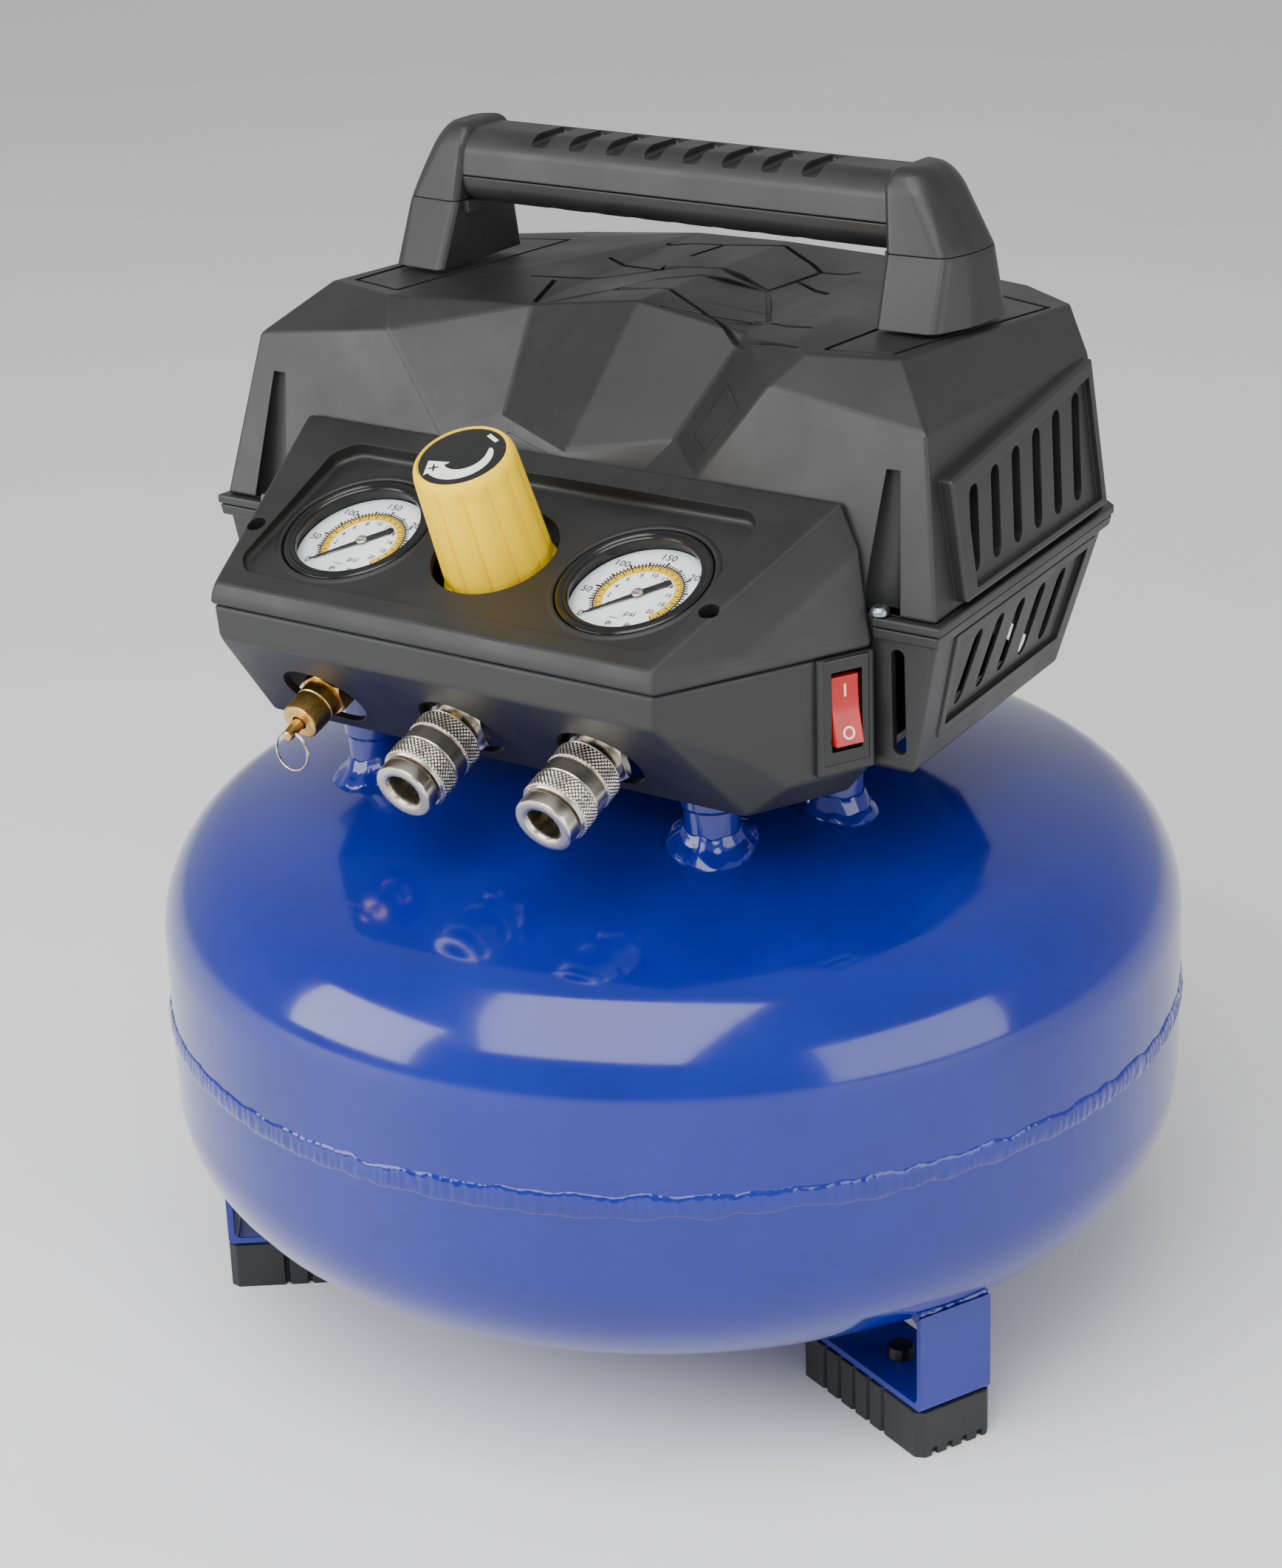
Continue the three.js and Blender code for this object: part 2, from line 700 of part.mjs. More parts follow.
// Rocker switch: a bezel clipped through the wall, and a rocker that pivots across it.
const rocker = { half: 12.7, halfWidth: 6 };
const bezel = cut(
  join(
    box(-13, 0.5, -8, 8, -17, 17),
    box(0.4, 1.8, -9.6, 9.6, -20, 20),
  ),
  box(-11, 5, -rocker.halfWidth - 0.4, rocker.halfWidth + 0.4, -15, 15),
);
place("switch_bezel", bezel, colour.black, switchBox);
const rockerSide = [
  [-9, -4],
  [-1.5, -rocker.half],
  [4.2, -rocker.half],
  [0.9, 0],
  [0.4, rocker.half],
  [-3, rocker.half],
  [-9, 4],
];
const rockerTurn = new THREE.Matrix4().makeRotationX(Math.PI / 2);
const rockerBar = moved(
  placed(extruded(rockerSide, 2 * rocker.halfWidth), rockerTurn),
  0,
  rocker.halfWidth,
  0,
);
place("switch_rocker", rockerBar, colour.red, switchBox);

// ---- Controls, in the tilted frame --------------------------------------------------------
// The rim's lip reaches in over the dial card and the lens.
const gaugeProfile = [
  [0, -21],
  [gauge.body, -21],
  [gauge.body, 3],
  [gauge.bezel, 3],
  [gauge.bezel, 8],
  [28.4, 8.8],
  [25.4, 8.4],
  [24.4, 7.4],
  [24.4, 6.4],
  [gauge.cavity, 6.4],
  [gauge.cavity, gauge.floor],
  [0, gauge.floor],
  [0, -21],
];
for (const [side, sign] of [["left", -1], ["right", 1]]) {
  const x = sign * gauge.x;
  const group = new THREE.Group();
  group.position.set(x, gauge.y, 0);
  control.add(group);
  const gaugeCase = join(
    turned(gaugeProfile, 30),
    rod([0, 0, outlet.z + 11.8], [0, 0, -20], 6, 6, 12),
  );
  place("gauge_case_" + side, gaugeCase, colour.black, group);
  const disc = gauge.cavity - gap;
  const card = rod([0, 0, gauge.floor + gap], [0, 0, gauge.face], disc, disc, 30);
  place("gauge_dial_" + side, card, colour.white, group);
  place("gauge_lens_" + side, rod([0, 0, 4.9], [0, 0, 6.1], disc, disc, 30), colour.glass, group);
  const pointer = hull(
    [2.3, 2.9].flatMap((z) => [
      [-15, -14.6, z],
      [-14.6, -15, z],
      [9.8, 8, z],
      [8, 9.8, z],
    ]),
  );
  place(
    "gauge_needle_" + side,
    join(pointer, rod([0, 0, 2], [0, 0, 3.6], 2.4, 2.4, 16)),
    colour.black,
    group,
  );
}

place(
  "pressure_manifold",
  join(
    box(-84, 68, -11, 11, outlet.z - 11.5, outlet.z + 11.5),
    rod([0, 0, outlet.z + 11], [0, 0, outlet.z + 15], 17, 17, 24),
  ),
  colour.aluminium,
  control,
);
place(
  "regulator_body",
  join(
    rod([0, 0, outlet.z + 15.3], [0, 0, -2], 15, 15, 24),
    rod([0, 0, -4], [0, 0, 36], 4.7, 4.7, 16),
  ),
  colour.zinc,
  control,
);
const knobProfile = [
  [5.1, 38],
  [5.1, 30],
  [16, 30],
  [16, knob.foot],
  [22, knob.foot],
  [22, knob.foot + 3],
  [knob.baseRadius, knob.foot + 5],
  [knob.topRadius + 0.6, knob.height - 3],
  [knob.topRadius - 1.5, knob.height],
  [0, knob.height],
  [0, 38],
  [5.1, 38],
];
place("regulator_knob", turned(knobProfile, 2 * knob.flats), colour.yellow, control);

const outletAt = (x) => {
  const group = new THREE.Group();
  group.position.set(x, 0, outlet.z);
  control.add(group);
  return group;
};
for (const side of ["left", "right"]) {
  const group = outletAt(outlet[side]);
  place(
    "outlet_nipple_" + side,
    join(hexBar(9.5, 12, 30), placed(rod([0, 0, 11.3], [0, 0, 37.7], 7, 7, 16), rockerTurn)),
    colour.brass,
    group,
  );
  const core = turnedForward(
    [[6.5, 54], [10, 54], [10, 71.6], [11.8, 72], [11.8, 78], [7.3, 78], [6.5, 77], [6.5, 54]],
    24,
  );
  const barrel = turnedForward([[0, 40], [10, 40], [10, 56], [0, 56], [0, 40]], 24);
  place("coupler_body_" + side, join(core, barrel, hexBar(13.4, 38, 41)), colour.nickel, group);
  place(
    "coupler_sleeve_" + side,
    turnedForward(
      [
        [10.4, 46], [12.6, 46], [13.4, 47], [13.4, 54], [12.6, 54.6], [12.6, 61.4],
        [13.4, 62], [13.4, 70], [12.6, 71.2], [10.4, 71.2], [10.4, 46],
      ],
      24,
    ),
    colour.nickel,
    group,
  );
}

// Safety valve with a pull pin and a split ring hanging from it.
const valve = outletAt(outlet.valve);
place(
  "safety_valve_body",
  cut(
    join(
      placed(rod([0, 0, 11.3], [0, 0, 34], 6, 6, 16), rockerTurn),
      hexBar(10, 30.5, 40.5),
      placed(rod([0, 0, 40], [0, 0, 56.5], 8, 7.6, 20), rockerTurn),
    ),
    placed(rod([0, 0, 42.5], [0, 0, 70], 3, 3, 16), rockerTurn),
  ),
  colour.brass,
  valve,
);
const pull = { along: 62, radius: 7.6, wire: 0.6 };
const pinHole = rod([-5, -pull.along, 0], [5, -pull.along, 0], 1.1, 1.1, 10);
place(
  "safety_valve_pin",
  cut(placed(rod([0, 0, 44.5], [0, 0, 65], 2.5, 2.2, 16), rockerTurn), pinHole),
  colour.brass,
  valve,
);
const ringCentre = new THREE.Vector3(0, -pull.along, 0)
  .applyAxisAngle(new THREE.Vector3(1, 0, 0), tilt)
  .add(new THREE.Vector3(0, 0, outlet.z).applyAxisAngle(new THREE.Vector3(1, 0, 0), tilt))
  .add(controlOrigin)
  .add(new THREE.Vector3(outlet.valve, 0, -pull.radius));
const pullRing = new THREE.TorusGeometry(pull.radius, pull.wire, 6, 20)
  .rotateX(Math.PI / 2)
  .translate(...ringCentre);
place("safety_valve_ring", solid(pullRing), colour.nickel);

// ---- Handle -------------------------------------------------------------------------------
const postRings = {
  foot: [[99.5, -3], [124, -1], [131, 18], [131, 40], [122, 52], [99.5, 52]],
  split: [[98, 7], [123, 9], [127.5, 22], [127.5, 38], [121, 46], [98, 46]],
  shoulder: [[95.5, 10.5], [109, 11.5], [115, 20], [115, 36], [109, 44], [95.5, 44.5]],
  cap: [[96, 15], [105, 16], [109, 22], [109, 33], [105, 39], [96, 40]],
};
const ringAt = (name, z, sign) => postRings[name].map(([x, y]) => [sign * x, y, z]);
const post = (sign, ...rings) => hull(rings.flatMap(([name, z]) => ringAt(name, z, sign)));

const gripRidges = [];
for (let i = 0; i < 8; i++) {
  const x = -62 + i * 17.7;
  gripRidges.push(
    hull([
      [x - 3.4, 6, 457.6], [x + 3.4, 6, 457.6], [x - 3.4, 6, 468], [x + 3.4, 6, 468],
      [x - 1.9, 35.5, 459.6], [x + 4.9, 35.5, 459.6], [x - 1.9, 35.5, 468], [x + 4.9, 35.5, 468],
    ]),
  );
}
const gripTop = hull([
  ...mirrored([[97, handle.front], [97, handle.back]], handle.split + gap / 2),
  ...mirrored([[97, handle.front + 1], [97, handle.back - 1]], 460),
  ...mirrored([[97, handle.front + 5], [97, handle.back - 5]], 464),
]);
place(
  "handle_upper",
  cut(
    join(
      gripTop,
      ...[-1, 1].map((sign) =>
        post(sign, ["split", handle.postSplit + gap / 2], ["shoulder", 460], ["cap", handle.top]),
      ),
    ),
    ...gripRidges,
    box(-97.4, 97.4, 0, 60, 430, handle.split + gap / 2),
  ),
  colour.black,
);
const gripBottom = hull([
  ...mirrored([[97, handle.front], [97, handle.back]], handle.split - gap / 2),
  ...mirrored([[97, handle.front + 1], [97, handle.back - 1]], 439),
  ...mirrored([[97, handle.front + 6], [97, handle.back - 6]], 434.5),
]);
const lowerPost = (sign) => post(sign, ["foot", 410 + gap], ["split", handle.postSplit - gap / 2]);
const ear = (sign) =>
  sign < 0 ? box(-102, -96, 12, 43, 430, 435.8) : box(96, 102, 12, 43, 430, 435.8);
place(
  "handle_lower",
  join(gripBottom, lowerPost(-1), lowerPost(1), ear(-1), ear(1)),
  colour.black,
);

// ---- Pump and motor -----------------------------------------------------------------------
const deckOutline = [[96, -104], [104, -62], [134, -58], [126, 60], [92, 88]];
const deckShape = [...deckOutline, ...deckOutline.map(([x, y]) => [-x, y]).reverse()];
place(
  "pump_deck",
  cut(
    moved(extruded(deckShape, deck.top - deck.bottom), 0, 0, deck.bottom),
    rod([inlet.x, inlet.y, 260], [inlet.x, inlet.y, 280], 11, 11, 16),
  ),
  colour.steel,
);

const shaft = (x0, x1, radius, sides = 20, endRadius = radius) =>
  rod([x0, pump.y, pump.z], [x1, pump.y, pump.z], radius, endRadius, sides);
place(
  "motor_stator",
  cut(
    join(
      shaft(-108, -28, 40, 28),
      box(-98, -38, pump.y - 30, pump.y + 30, deck.top + gap, pump.z - 20),
    ),
    shaft(-110, -34, 28, 24),
    shaft(-40, -20, 6),
  ),
  colour.steel,
);
place("motor_rotor", join(shaft(-100, -40, 26), shaft(-132, 14.2, 5, 16)), colour.steel);
const blades = [];
for (let i = 0; i < 6; i++) {
  const a = (i * Math.PI) / 3;
  const up = new THREE.Matrix4()
    .makeTranslation(-122, pump.y, pump.z)
    .multiply(new THREE.Matrix4().makeRotationX(a))
    .multiply(new THREE.Matrix4().makeRotationZ(0.6));
  blades.push(placed(box(-1, 1, -9, 9, 8, 40), up));
}
place(
  "cooling_fan",
  cut(join(shaft(-129, -115, 11), ...blades), shaft(-140, -110, 5 + gap, 16)),
  colour.black,
);

const caseX = { back: 6, front: 46 };
place(
  "crankcase",
  cut(
    join(
      shaft(caseX.back, caseX.front, 38, 28),
      box(caseX.back, caseX.front, pump.y - 30, pump.y + 30, deck.top + gap, pump.z - 20),
      box(caseX.back, caseX.front + 3, pump.y - 22, pump.y + 22, pump.z + 20, pump.z + 40),
    ),
    shaft(caseX.back + 4, caseX.front + 6, 34, 28),
    shaft(0, 20, 6),
    rod([pump.pistonX, pump.y, pump.z], [pump.pistonX, pump.y, 370], 17, 17, 24),
  ),
  colour.aluminium,
);
place(
  "crank_eccentric",
  join(
    cut(
      moved(shaft(12, 20, 15, 24), 0, 3, 0),
      shaft(0, 14.5, 5 + gap, 16),
    ),
    moved(shaft(19, 32, 3, 12), 0, pump.throwRadius, 0),
  ),
  colour.steel,
);
place(
  "piston_rod",
  join(
    cut(shaft(24, 31, 24.5, 28), shaft(20, 34, 20.5, 28)),
    rod([pump.pistonX + 0.5, pump.y, pump.z + 23.5], [pump.pistonX + 0.5, pump.y, 368], 3, 3, 12),
    rod([pump.pistonX, pump.y, 367], [pump.pistonX, pump.y, 373], 17.5, 17.5, 24),
  ),
  colour.aluminium,
);
const bore = (z0, z1, radius, sides = 24) =>
  rod([pump.pistonX, pump.y, z0], [pump.pistonX, pump.y, z1], radius, radius, sides);
place("pump_cylinder", cut(bore(358.3, 384, 21.5), bore(350, 390, 18)), colour.aluminium);
place(
  "cylinder_head",
  cut(
    join(
      box(4, 50, pump.y - 23, pump.y + 23, 384.3, 390),
      ...[-18, -9, 0, 9, 18].map((y) => box(6, 48, pump.y + y - 1.5, pump.y + y + 1.5, 389, 401)),
      box(6, 48, pump.y - 20, pump.y + 20, 389, 394),
    ),
    box(40, 60, pump.y - 6, pump.y + 6, 387, 397),
  ),
  colour.aluminium,
);
place(
  "transfer_tube",
  tube(
    [[41, 12, 391.5], [56, 12, 391.5], [74, 8, 386], [86, -4, 365], [92, -18, 330], [inlet.x, inlet.y, 300]],
    4,
    22,
  ),
  colour.copper,
);
place(
  "check_valve",
  join(
    rod([inlet.x, inlet.y, inlet.top + gap], [inlet.x, inlet.y, 262], 10, 10, 6),
    rod([inlet.x, inlet.y, 261], [inlet.x, inlet.y, 286], 7, 7, 16),
    rod([inlet.x, inlet.y, 280], [inlet.x, inlet.y, 297], 9, 9, 6),
  ),
  colour.brass,
);
place(
  "pressure_switch",
  join(
    box(66, 112, 30, 72, deck.top + gap, 325),
    rod([89, 30, 300], [89, 20, 300], 8, 8, 12),
  ),
  colour.black,
);

export default root;
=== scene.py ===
# Looks of the pancake air compressor. Sizes are in millimetres until a piece is finished, then metres.
from math import asin, atan2, cos, hypot, pi, radians, sin, sqrt

import bmesh
import bpy
from mathutils import Matrix, Vector, noise
from mathutils.bvhtree import BVHTree


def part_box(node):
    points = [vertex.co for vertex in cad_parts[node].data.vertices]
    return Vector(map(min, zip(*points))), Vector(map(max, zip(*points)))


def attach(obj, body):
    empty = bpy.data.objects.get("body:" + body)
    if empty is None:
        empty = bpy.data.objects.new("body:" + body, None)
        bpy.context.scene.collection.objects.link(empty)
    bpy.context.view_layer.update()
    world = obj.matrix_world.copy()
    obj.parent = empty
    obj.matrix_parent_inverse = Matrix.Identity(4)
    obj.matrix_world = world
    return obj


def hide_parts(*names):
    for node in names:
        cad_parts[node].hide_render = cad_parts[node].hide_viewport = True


mm = 0.001
fullTurn = 2 * pi
forward = Matrix.Rotation(pi / 2, 4, "X")
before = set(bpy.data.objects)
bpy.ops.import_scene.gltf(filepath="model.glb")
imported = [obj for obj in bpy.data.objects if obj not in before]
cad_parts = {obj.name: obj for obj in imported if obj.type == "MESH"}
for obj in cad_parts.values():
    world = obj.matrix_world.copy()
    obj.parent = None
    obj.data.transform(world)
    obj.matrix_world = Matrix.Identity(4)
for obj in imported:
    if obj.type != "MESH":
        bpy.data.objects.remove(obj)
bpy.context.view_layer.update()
link = bpy.context.scene.collection.objects.link
print("frame loaded")


# Materials.
def linear(code):
    channels = [int(code[i : i + 2], 16) / 255 for i in (1, 3, 5)]
    curve = [c / 12.92 if c <= 0.04045 else ((c + 0.055) / 1.055) ** 2.4 for c in channels]
    return (*curve, 1.0)


def addNode(tree, kind, inputs=None, **settings):
    node = tree.nodes.new(kind)
    for key, value in settings.items():
        setattr(node, key, value)
    for key, value in (inputs or {}).items():
        node.inputs[key].default_value = value
    return node


def surface(name, look):
    # Fine grain as bump, a slow cloud that shifts colour and roughness, and edges that catch light.
    material = bpy.data.materials.new(name)
    material.use_nodes = True
    tree = material.node_tree
    shader = tree.nodes["Principled BSDF"]
    for key, value in look.get("shader", {}).items():
        shader.inputs[key].default_value = value
    place = addNode(tree, "ShaderNodeTexCoord").outputs["Object"]
    if "stretch" in look:
        mapping = addNode(tree, "ShaderNodeMapping", {"Scale": look["stretch"]})
        tree.links.new(place, mapping.inputs["Vector"])
        place = mapping.outputs["Vector"]
    grain = addNode(tree, "ShaderNodeTexNoise", {"Scale": 1 / (look["grain"] * mm), "Detail": 3.0})
    fine = {"Scale": 1 / (look["cloud"] * mm), "Detail": 7.0, "Roughness": 0.6}
    cloud = addNode(tree, "ShaderNodeTexNoise", fine)
    for pattern in (grain, cloud):
        tree.links.new(place, pattern.inputs["Vector"])
    bump = addNode(tree, "ShaderNodeBump", {"Distance": look["depth"] * mm})
    tree.links.new(grain.outputs["Fac"], bump.inputs["Height"])
    if "edge" in look:
        edge = addNode(tree, "ShaderNodeBevel", {"Radius": look["edge"] * mm}, samples=4)
        tree.links.new(edge.outputs["Normal"], bump.inputs["Normal"])
    tree.links.new(bump.outputs["Normal"], shader.inputs["Normal"])
    ramp = addNode(tree, "ShaderNodeValToRGB")
    ramp.color_ramp.elements[0].position = 0.4
    ramp.color_ramp.elements[0].color = linear(look["base"])
    ramp.color_ramp.elements[1].position = look.get("reach", 0.75)
    ramp.color_ramp.elements[1].color = linear(look["worn"])
    tree.links.new(cloud.outputs["Fac"], ramp.inputs["Fac"])
    tree.links.new(ramp.outputs["Color"], shader.inputs["Base Color"])
    low, high = look["rough"]
    limits = {"From Min": 0.35, "From Max": 0.65, "To Min": low, "To Max": high}
    spread = addNode(tree, "ShaderNodeMapRange", limits)
    tree.links.new(cloud.outputs["Fac"], spread.inputs["Value"])
    tree.links.new(spread.outputs["Result"], shader.inputs["Roughness"])
    return material


looks = {
    # Baked gloss paint on sheet steel, with a little orange peel.
    "bluePaint": {
        "base": "#06177a", "worn": "#081d88", "rough": (0.09, 0.16), "grain": 3.2, "depth": 0.012,
        "cloud": 60, "shader": {"Coat Weight": 0.25, "Coat Roughness": 0.05},
    },
    # Moulded ABS with a fine spark texture, slightly polished by handling.
    "blackMoulding": {
        "base": "#1d1d1e", "worn": "#242425", "rough": (0.38, 0.52), "grain": 0.45, "depth": 0.02,
        "cloud": 45, "edge": 0.5,
    },
    # A darker, rougher copy of the black ABS moulding for the console: its darker tone is painted
    # shade.
    "consoleMoulding": {
        "base": "#19191a", "worn": "#202021", "rough": (0.42, 0.56), "grain": 0.4, "depth": 0.02,
        "cloud": 38, "edge": 0.6,
    },
    # Black gloss plastic of the gauge rims.
    "gaugeBlack": {
        "base": "#0c0c0d", "worn": "#151516", "rough": (0.14, 0.22), "grain": 1.2, "depth": 0.004,
        "cloud": 20, "edge": 0.4,
    },
    # Natural rubber of the feet, dusty in the grooves.
    "footRubber": {
        "base": "#1a1b1c", "worn": "#2a2b2c", "rough": (0.55, 0.75), "grain": 0.8, "depth": 0.05,
        "cloud": 14, "edge": 0.5,
    },
    # Yellow polypropylene with faint moulding waves.
    "yellowKnob": {
        "base": "#ffd400", "worn": "#f5c600", "rough": (0.42, 0.55), "grain": 0.9, "depth": 0.01,
        "cloud": 22, "edge": 0.4, "shader": {"Specular IOR Level": 0.15},
    },
    # Red translucent rocker plastic.
    "redRocker": {
        "base": "#b40000", "worn": "#940000", "rough": (0.16, 0.26), "grain": 1.5, "depth": 0.004,
        "cloud": 12, "edge": 0.3,
    },
    # Nickel plate over turned brass.
    "nickelPlate": {
        "base": "#d2ccbf", "worn": "#b8b1a3", "rough": (0.17, 0.3), "grain": 0.35, "depth": 0.004,
        "cloud": 9, "edge": 0.25, "shader": {"Metallic": 1.0},
    },
    # Turned brass with handling tarnish.
    "turnedBrass": {
        "base": "#dcb56a", "worn": "#b98f48", "rough": (0.26, 0.42), "grain": 0.5, "depth": 0.01,
        "cloud": 7, "edge": 0.25, "shader": {"Metallic": 1.0},
    },
    # Zinc plated steel of the cover screws, regulator body and crank eccentric.
    "zincSteel": {
        "base": "#a3a7aa", "worn": "#858a8e", "rough": (0.28, 0.45), "grain": 0.5, "depth": 0.01,
        "cloud": 10, "shader": {"Metallic": 1.0},
    },
    # Blackened steel of the foot screws.
    "blackScrew": {
        "base": "#2b2b2c", "worn": "#4a4a4b", "rough": (0.3, 0.5), "grain": 0.5, "depth": 0.01,
        "cloud": 6, "edge": 0.2, "shader": {"Metallic": 0.8},
    },
    # Dark lamination steel of the motor.
    "motorSteel": {
        "base": "#3a3c3e", "worn": "#2b2d2f", "rough": (0.4, 0.6), "grain": 0.5, "depth": 0.02,
        "cloud": 12, "shader": {"Metallic": 0.7},
    },
    # Sand-textured die-cast alloy.
    "castAlloy": {
        "base": "#a7aaac", "worn": "#8d9092", "rough": (0.4, 0.6), "grain": 0.7, "depth": 0.05,
        "cloud": 15, "shader": {"Metallic": 1.0},
    },
    # Drawn copper pipe with brown oxide.
    "copperPipe": {
        "base": "#b87445", "worn": "#7c4a2c", "rough": (0.25, 0.45), "grain": 0.6, "depth": 0.01,
        "cloud": 12, "shader": {"Metallic": 1.0},
    },
    # Printed white card of the dials.
    "gaugeCard": {
        "base": "#f3f4f6", "worn": "#e9ebee", "rough": (0.5, 0.65), "grain": 0.6, "depth": 0.003,
        "cloud": 18,
    },
    # Black printing ink.
    "blackInk": {
        "base": "#17181a", "worn": "#232427", "rough": (0.45, 0.6), "grain": 0.4, "depth": 0.002,
        "cloud": 5,
    },
    # Yellow printing ink of the inner scale.
    "yellowInk": {
        "base": "#e9bb12", "worn": "#dcae10", "rough": (0.45, 0.6), "grain": 0.4, "depth": 0.002,
        "cloud": 5,
    },
    # White printing ink of arrows and switch marks.
    "whiteInk": {
        "base": "#f4f4f2", "worn": "#e6e6e2", "rough": (0.4, 0.55), "grain": 0.4, "depth": 0.002,
        "cloud": 6,
    },
    # Black satin label film.
    "labelFilm": {
        "base": "#111212", "worn": "#1a1b1b", "rough": (0.3, 0.4), "grain": 0.6, "depth": 0.003,
        "cloud": 10,
    },
    # Clear polycarbonate with faint haze.
    "clearLens": {
        "base": "#ffffff", "worn": "#f4f7f8", "rough": (0.01, 0.03), "grain": 4, "depth": 0.0008,
        "cloud": 20,
        "shader": {"Transmission Weight": 1.0, "IOR": 1.02, "Specular IOR Level": 1.0},
    },
    # Matt white studio paper.
    "studioFloor": {
        "base": "#f4f4f4", "worn": "#f8f8f8", "rough": (0.5, 0.6), "grain": 8, "depth": 0.02,
        "cloud": 400,
    },
}
material = {name: surface(name, look) for name, look in looks.items()}

print("materials made")


# Shapes.
def empty():
    return bmesh.new()


def cleaned(bm):
    bmesh.ops.remove_doubles(bm, verts=bm.verts, dist=1e-3)
    bmesh.ops.recalc_face_normals(bm, faces=bm.faces)
    return bm


def moved(bm, matrix):
    bmesh.ops.transform(bm, matrix=matrix, verts=bm.verts)
    if matrix.determinant() < 0:
        bmesh.ops.reverse_faces(bm, faces=bm.faces)
    return bm


def shifted(bm, x, y, z):
    return moved(bm, Matrix.Translation((x, y, z)))


def merged(*parts):
    target = parts[0]
    for part in parts[1:]:
        scratch = bpy.data.meshes.new("scratch")
        part.to_mesh(scratch)
        target.from_mesh(scratch)
        bpy.data.meshes.remove(scratch)
        part.free()
    return target


def block(x0, x1, y0, y1, z0, z1):
    bm = empty()
    size = Matrix.Diagonal((x1 - x0, y1 - y0, z1 - z0, 1))
    middle = Matrix.Translation(((x0 + x1) / 2, (y0 + y1) / 2, (z0 + z1) / 2))
    bmesh.ops.create_cube(bm, size=1, matrix=middle @ size)
    return bm


def hullOf(points):
    bm = empty()
    for point in points:
        bm.verts.new(point)
    made = bmesh.ops.convex_hull(bm, input=bm.verts)
    spare = made["geom_interior"] + made["geom_unused"]
    loose = [v for v in spare if isinstance(v, bmesh.types.BMVert)]
    bmesh.ops.delete(bm, geom=loose, context="VERTS")
    bmesh.ops.dissolve_limit(bm, angle_limit=0.01, verts=bm.verts, edges=bm.edges)
    return cleaned(bm)


def facing(way):
    # A turn that brings Z onto a direction.
    return way.to_track_quat("Z", "Y").to_matrix().to_4x4()


def rod(a, b, radius, end=None, sides=32):
    a, b = Vector(a), Vector(b)
    way = b - a
    bm = empty()
    bmesh.ops.create_cone(
        bm, cap_ends=True, segments=sides, radius1=radius, radius2=radius if end is None else end,
        depth=way.length, matrix=Matrix.Translation((a + b) / 2) @ facing(way),
    )
    return bm


def lathe(profile, steps=64):
    # A closed profile of (radius, height), turned about Z.
    bm = empty()
    corners = profile[:-1] if profile[0] == profile[-1] else profile
    verts = [bm.verts.new((r, 0, z)) for r, z in corners]
    pairs = list(zip(verts, verts[1:]))
    if profile[0] == profile[-1]:
        pairs.append((verts[-1], verts[0]))
    edges = [bm.edges.new(pair) for pair in pairs]
    bmesh.ops.spin(
        bm, geom=verts + edges, cent=(0, 0, 0), axis=(0, 0, 1), angle=fullTurn, steps=steps,
        use_merge=True,
    )
    return cleaned(bm)


def prism(outline, low, high):
    bm = empty()
    face = bm.faces.new([bm.verts.new((x, y, low)) for x, y in outline])
    lifted = bmesh.ops.extrude_face_region(bm, geom=[face])["geom"]
    rise = [v for v in lifted if isinstance(v, bmesh.types.BMVert)]
    bmesh.ops.translate(bm, vec=(0, 0, high - low), verts=rise)
    return cleaned(bm)


def soften(bm, radius, segments=2, angle=20, chosen=None):
    limit = radians(angle)
    sharp = [e for e in bm.edges if len(e.link_faces) == 2 and e.calc_face_angle(0) > limit]
    bmesh.ops.bevel(
        bm, geom=[e for e in sharp if chosen is None or chosen(e)], offset=radius,
        offset_type="OFFSET", segments=segments, profile=0.5, affect="EDGES", clamp_overlap=True,
        material=-1,
    )
    return bm


def asObject(bm, name):
    mesh = bpy.data.meshes.new(name)
    bm.to_mesh(mesh)
    bm.free()
    obj = bpy.data.objects.new(name, mesh)
    link(obj)
    return obj


def combined(base, steps):
    # Boolean steps in turn: each is an operation and a closed solid.
    subject = asObject(base, "subject")
    tools = []
    for operation, tool in steps:
        cutter = asObject(tool, "cutter")
        modifier = subject.modifiers.new("step", "BOOLEAN")
        modifier.operation = operation
        modifier.solver = "MANIFOLD"
        modifier.object = cutter
        tools.append(cutter)
    graph = bpy.context.evaluated_depsgraph_get()
    result = bpy.data.meshes.new_from_object(subject.evaluated_get(graph))
    bm = empty()
    bm.from_mesh(result)
    for leftover in (subject, *tools):
        old = leftover.data
        bpy.data.objects.remove(leftover)
        bpy.data.meshes.remove(old)
    bpy.data.meshes.remove(result)
    return bm


def cutBy(bm, *tools):
    return combined(bm, [("DIFFERENCE", tool) for tool in tools])


def joined(bm, *tools):
    return combined(bm, [("UNION", tool) for tool in tools])


def within(bm, tool):
    return combined(bm, [("INTERSECT", tool)])


def faceted(points, faces, shape=None):
    # Faces are named for the right half; each is repeated on the left.
    bm = empty()
    made = {}

    def corner(name, side):
        key = (name, side if abs(points[name][0]) > 1e-6 else 1)
        if key not in made:
            x, y, z = shape(points[name]) if shape else points[name]
            made[key] = bm.verts.new((x * key[1], y, z))
        return made[key]

    for names in faces:
        bm.faces.new([corner(name, 1) for name in names])
        bm.faces.new([corner(name, -1) for name in reversed(names)])
    return cleaned(bm)


def mirrored(points, z):
    return [(sign * x, y, z) for x, y in points for sign in (1, -1)]


def bothSides(make):
    # A solid and its mirror image in X, as one mesh.
    return merged(make(), moved(make(), Matrix.Diagonal((-1, 1, 1, 1))))


# Slots that differ from the look's own name.
slotNames = {
    "consoleMoulding": "black_moulding", "blackInk": "gauge_black", "labelFilm": "gauge_black",
    "yellowInk": "yellow_knob", "whiteInk": "gauge_card",
}


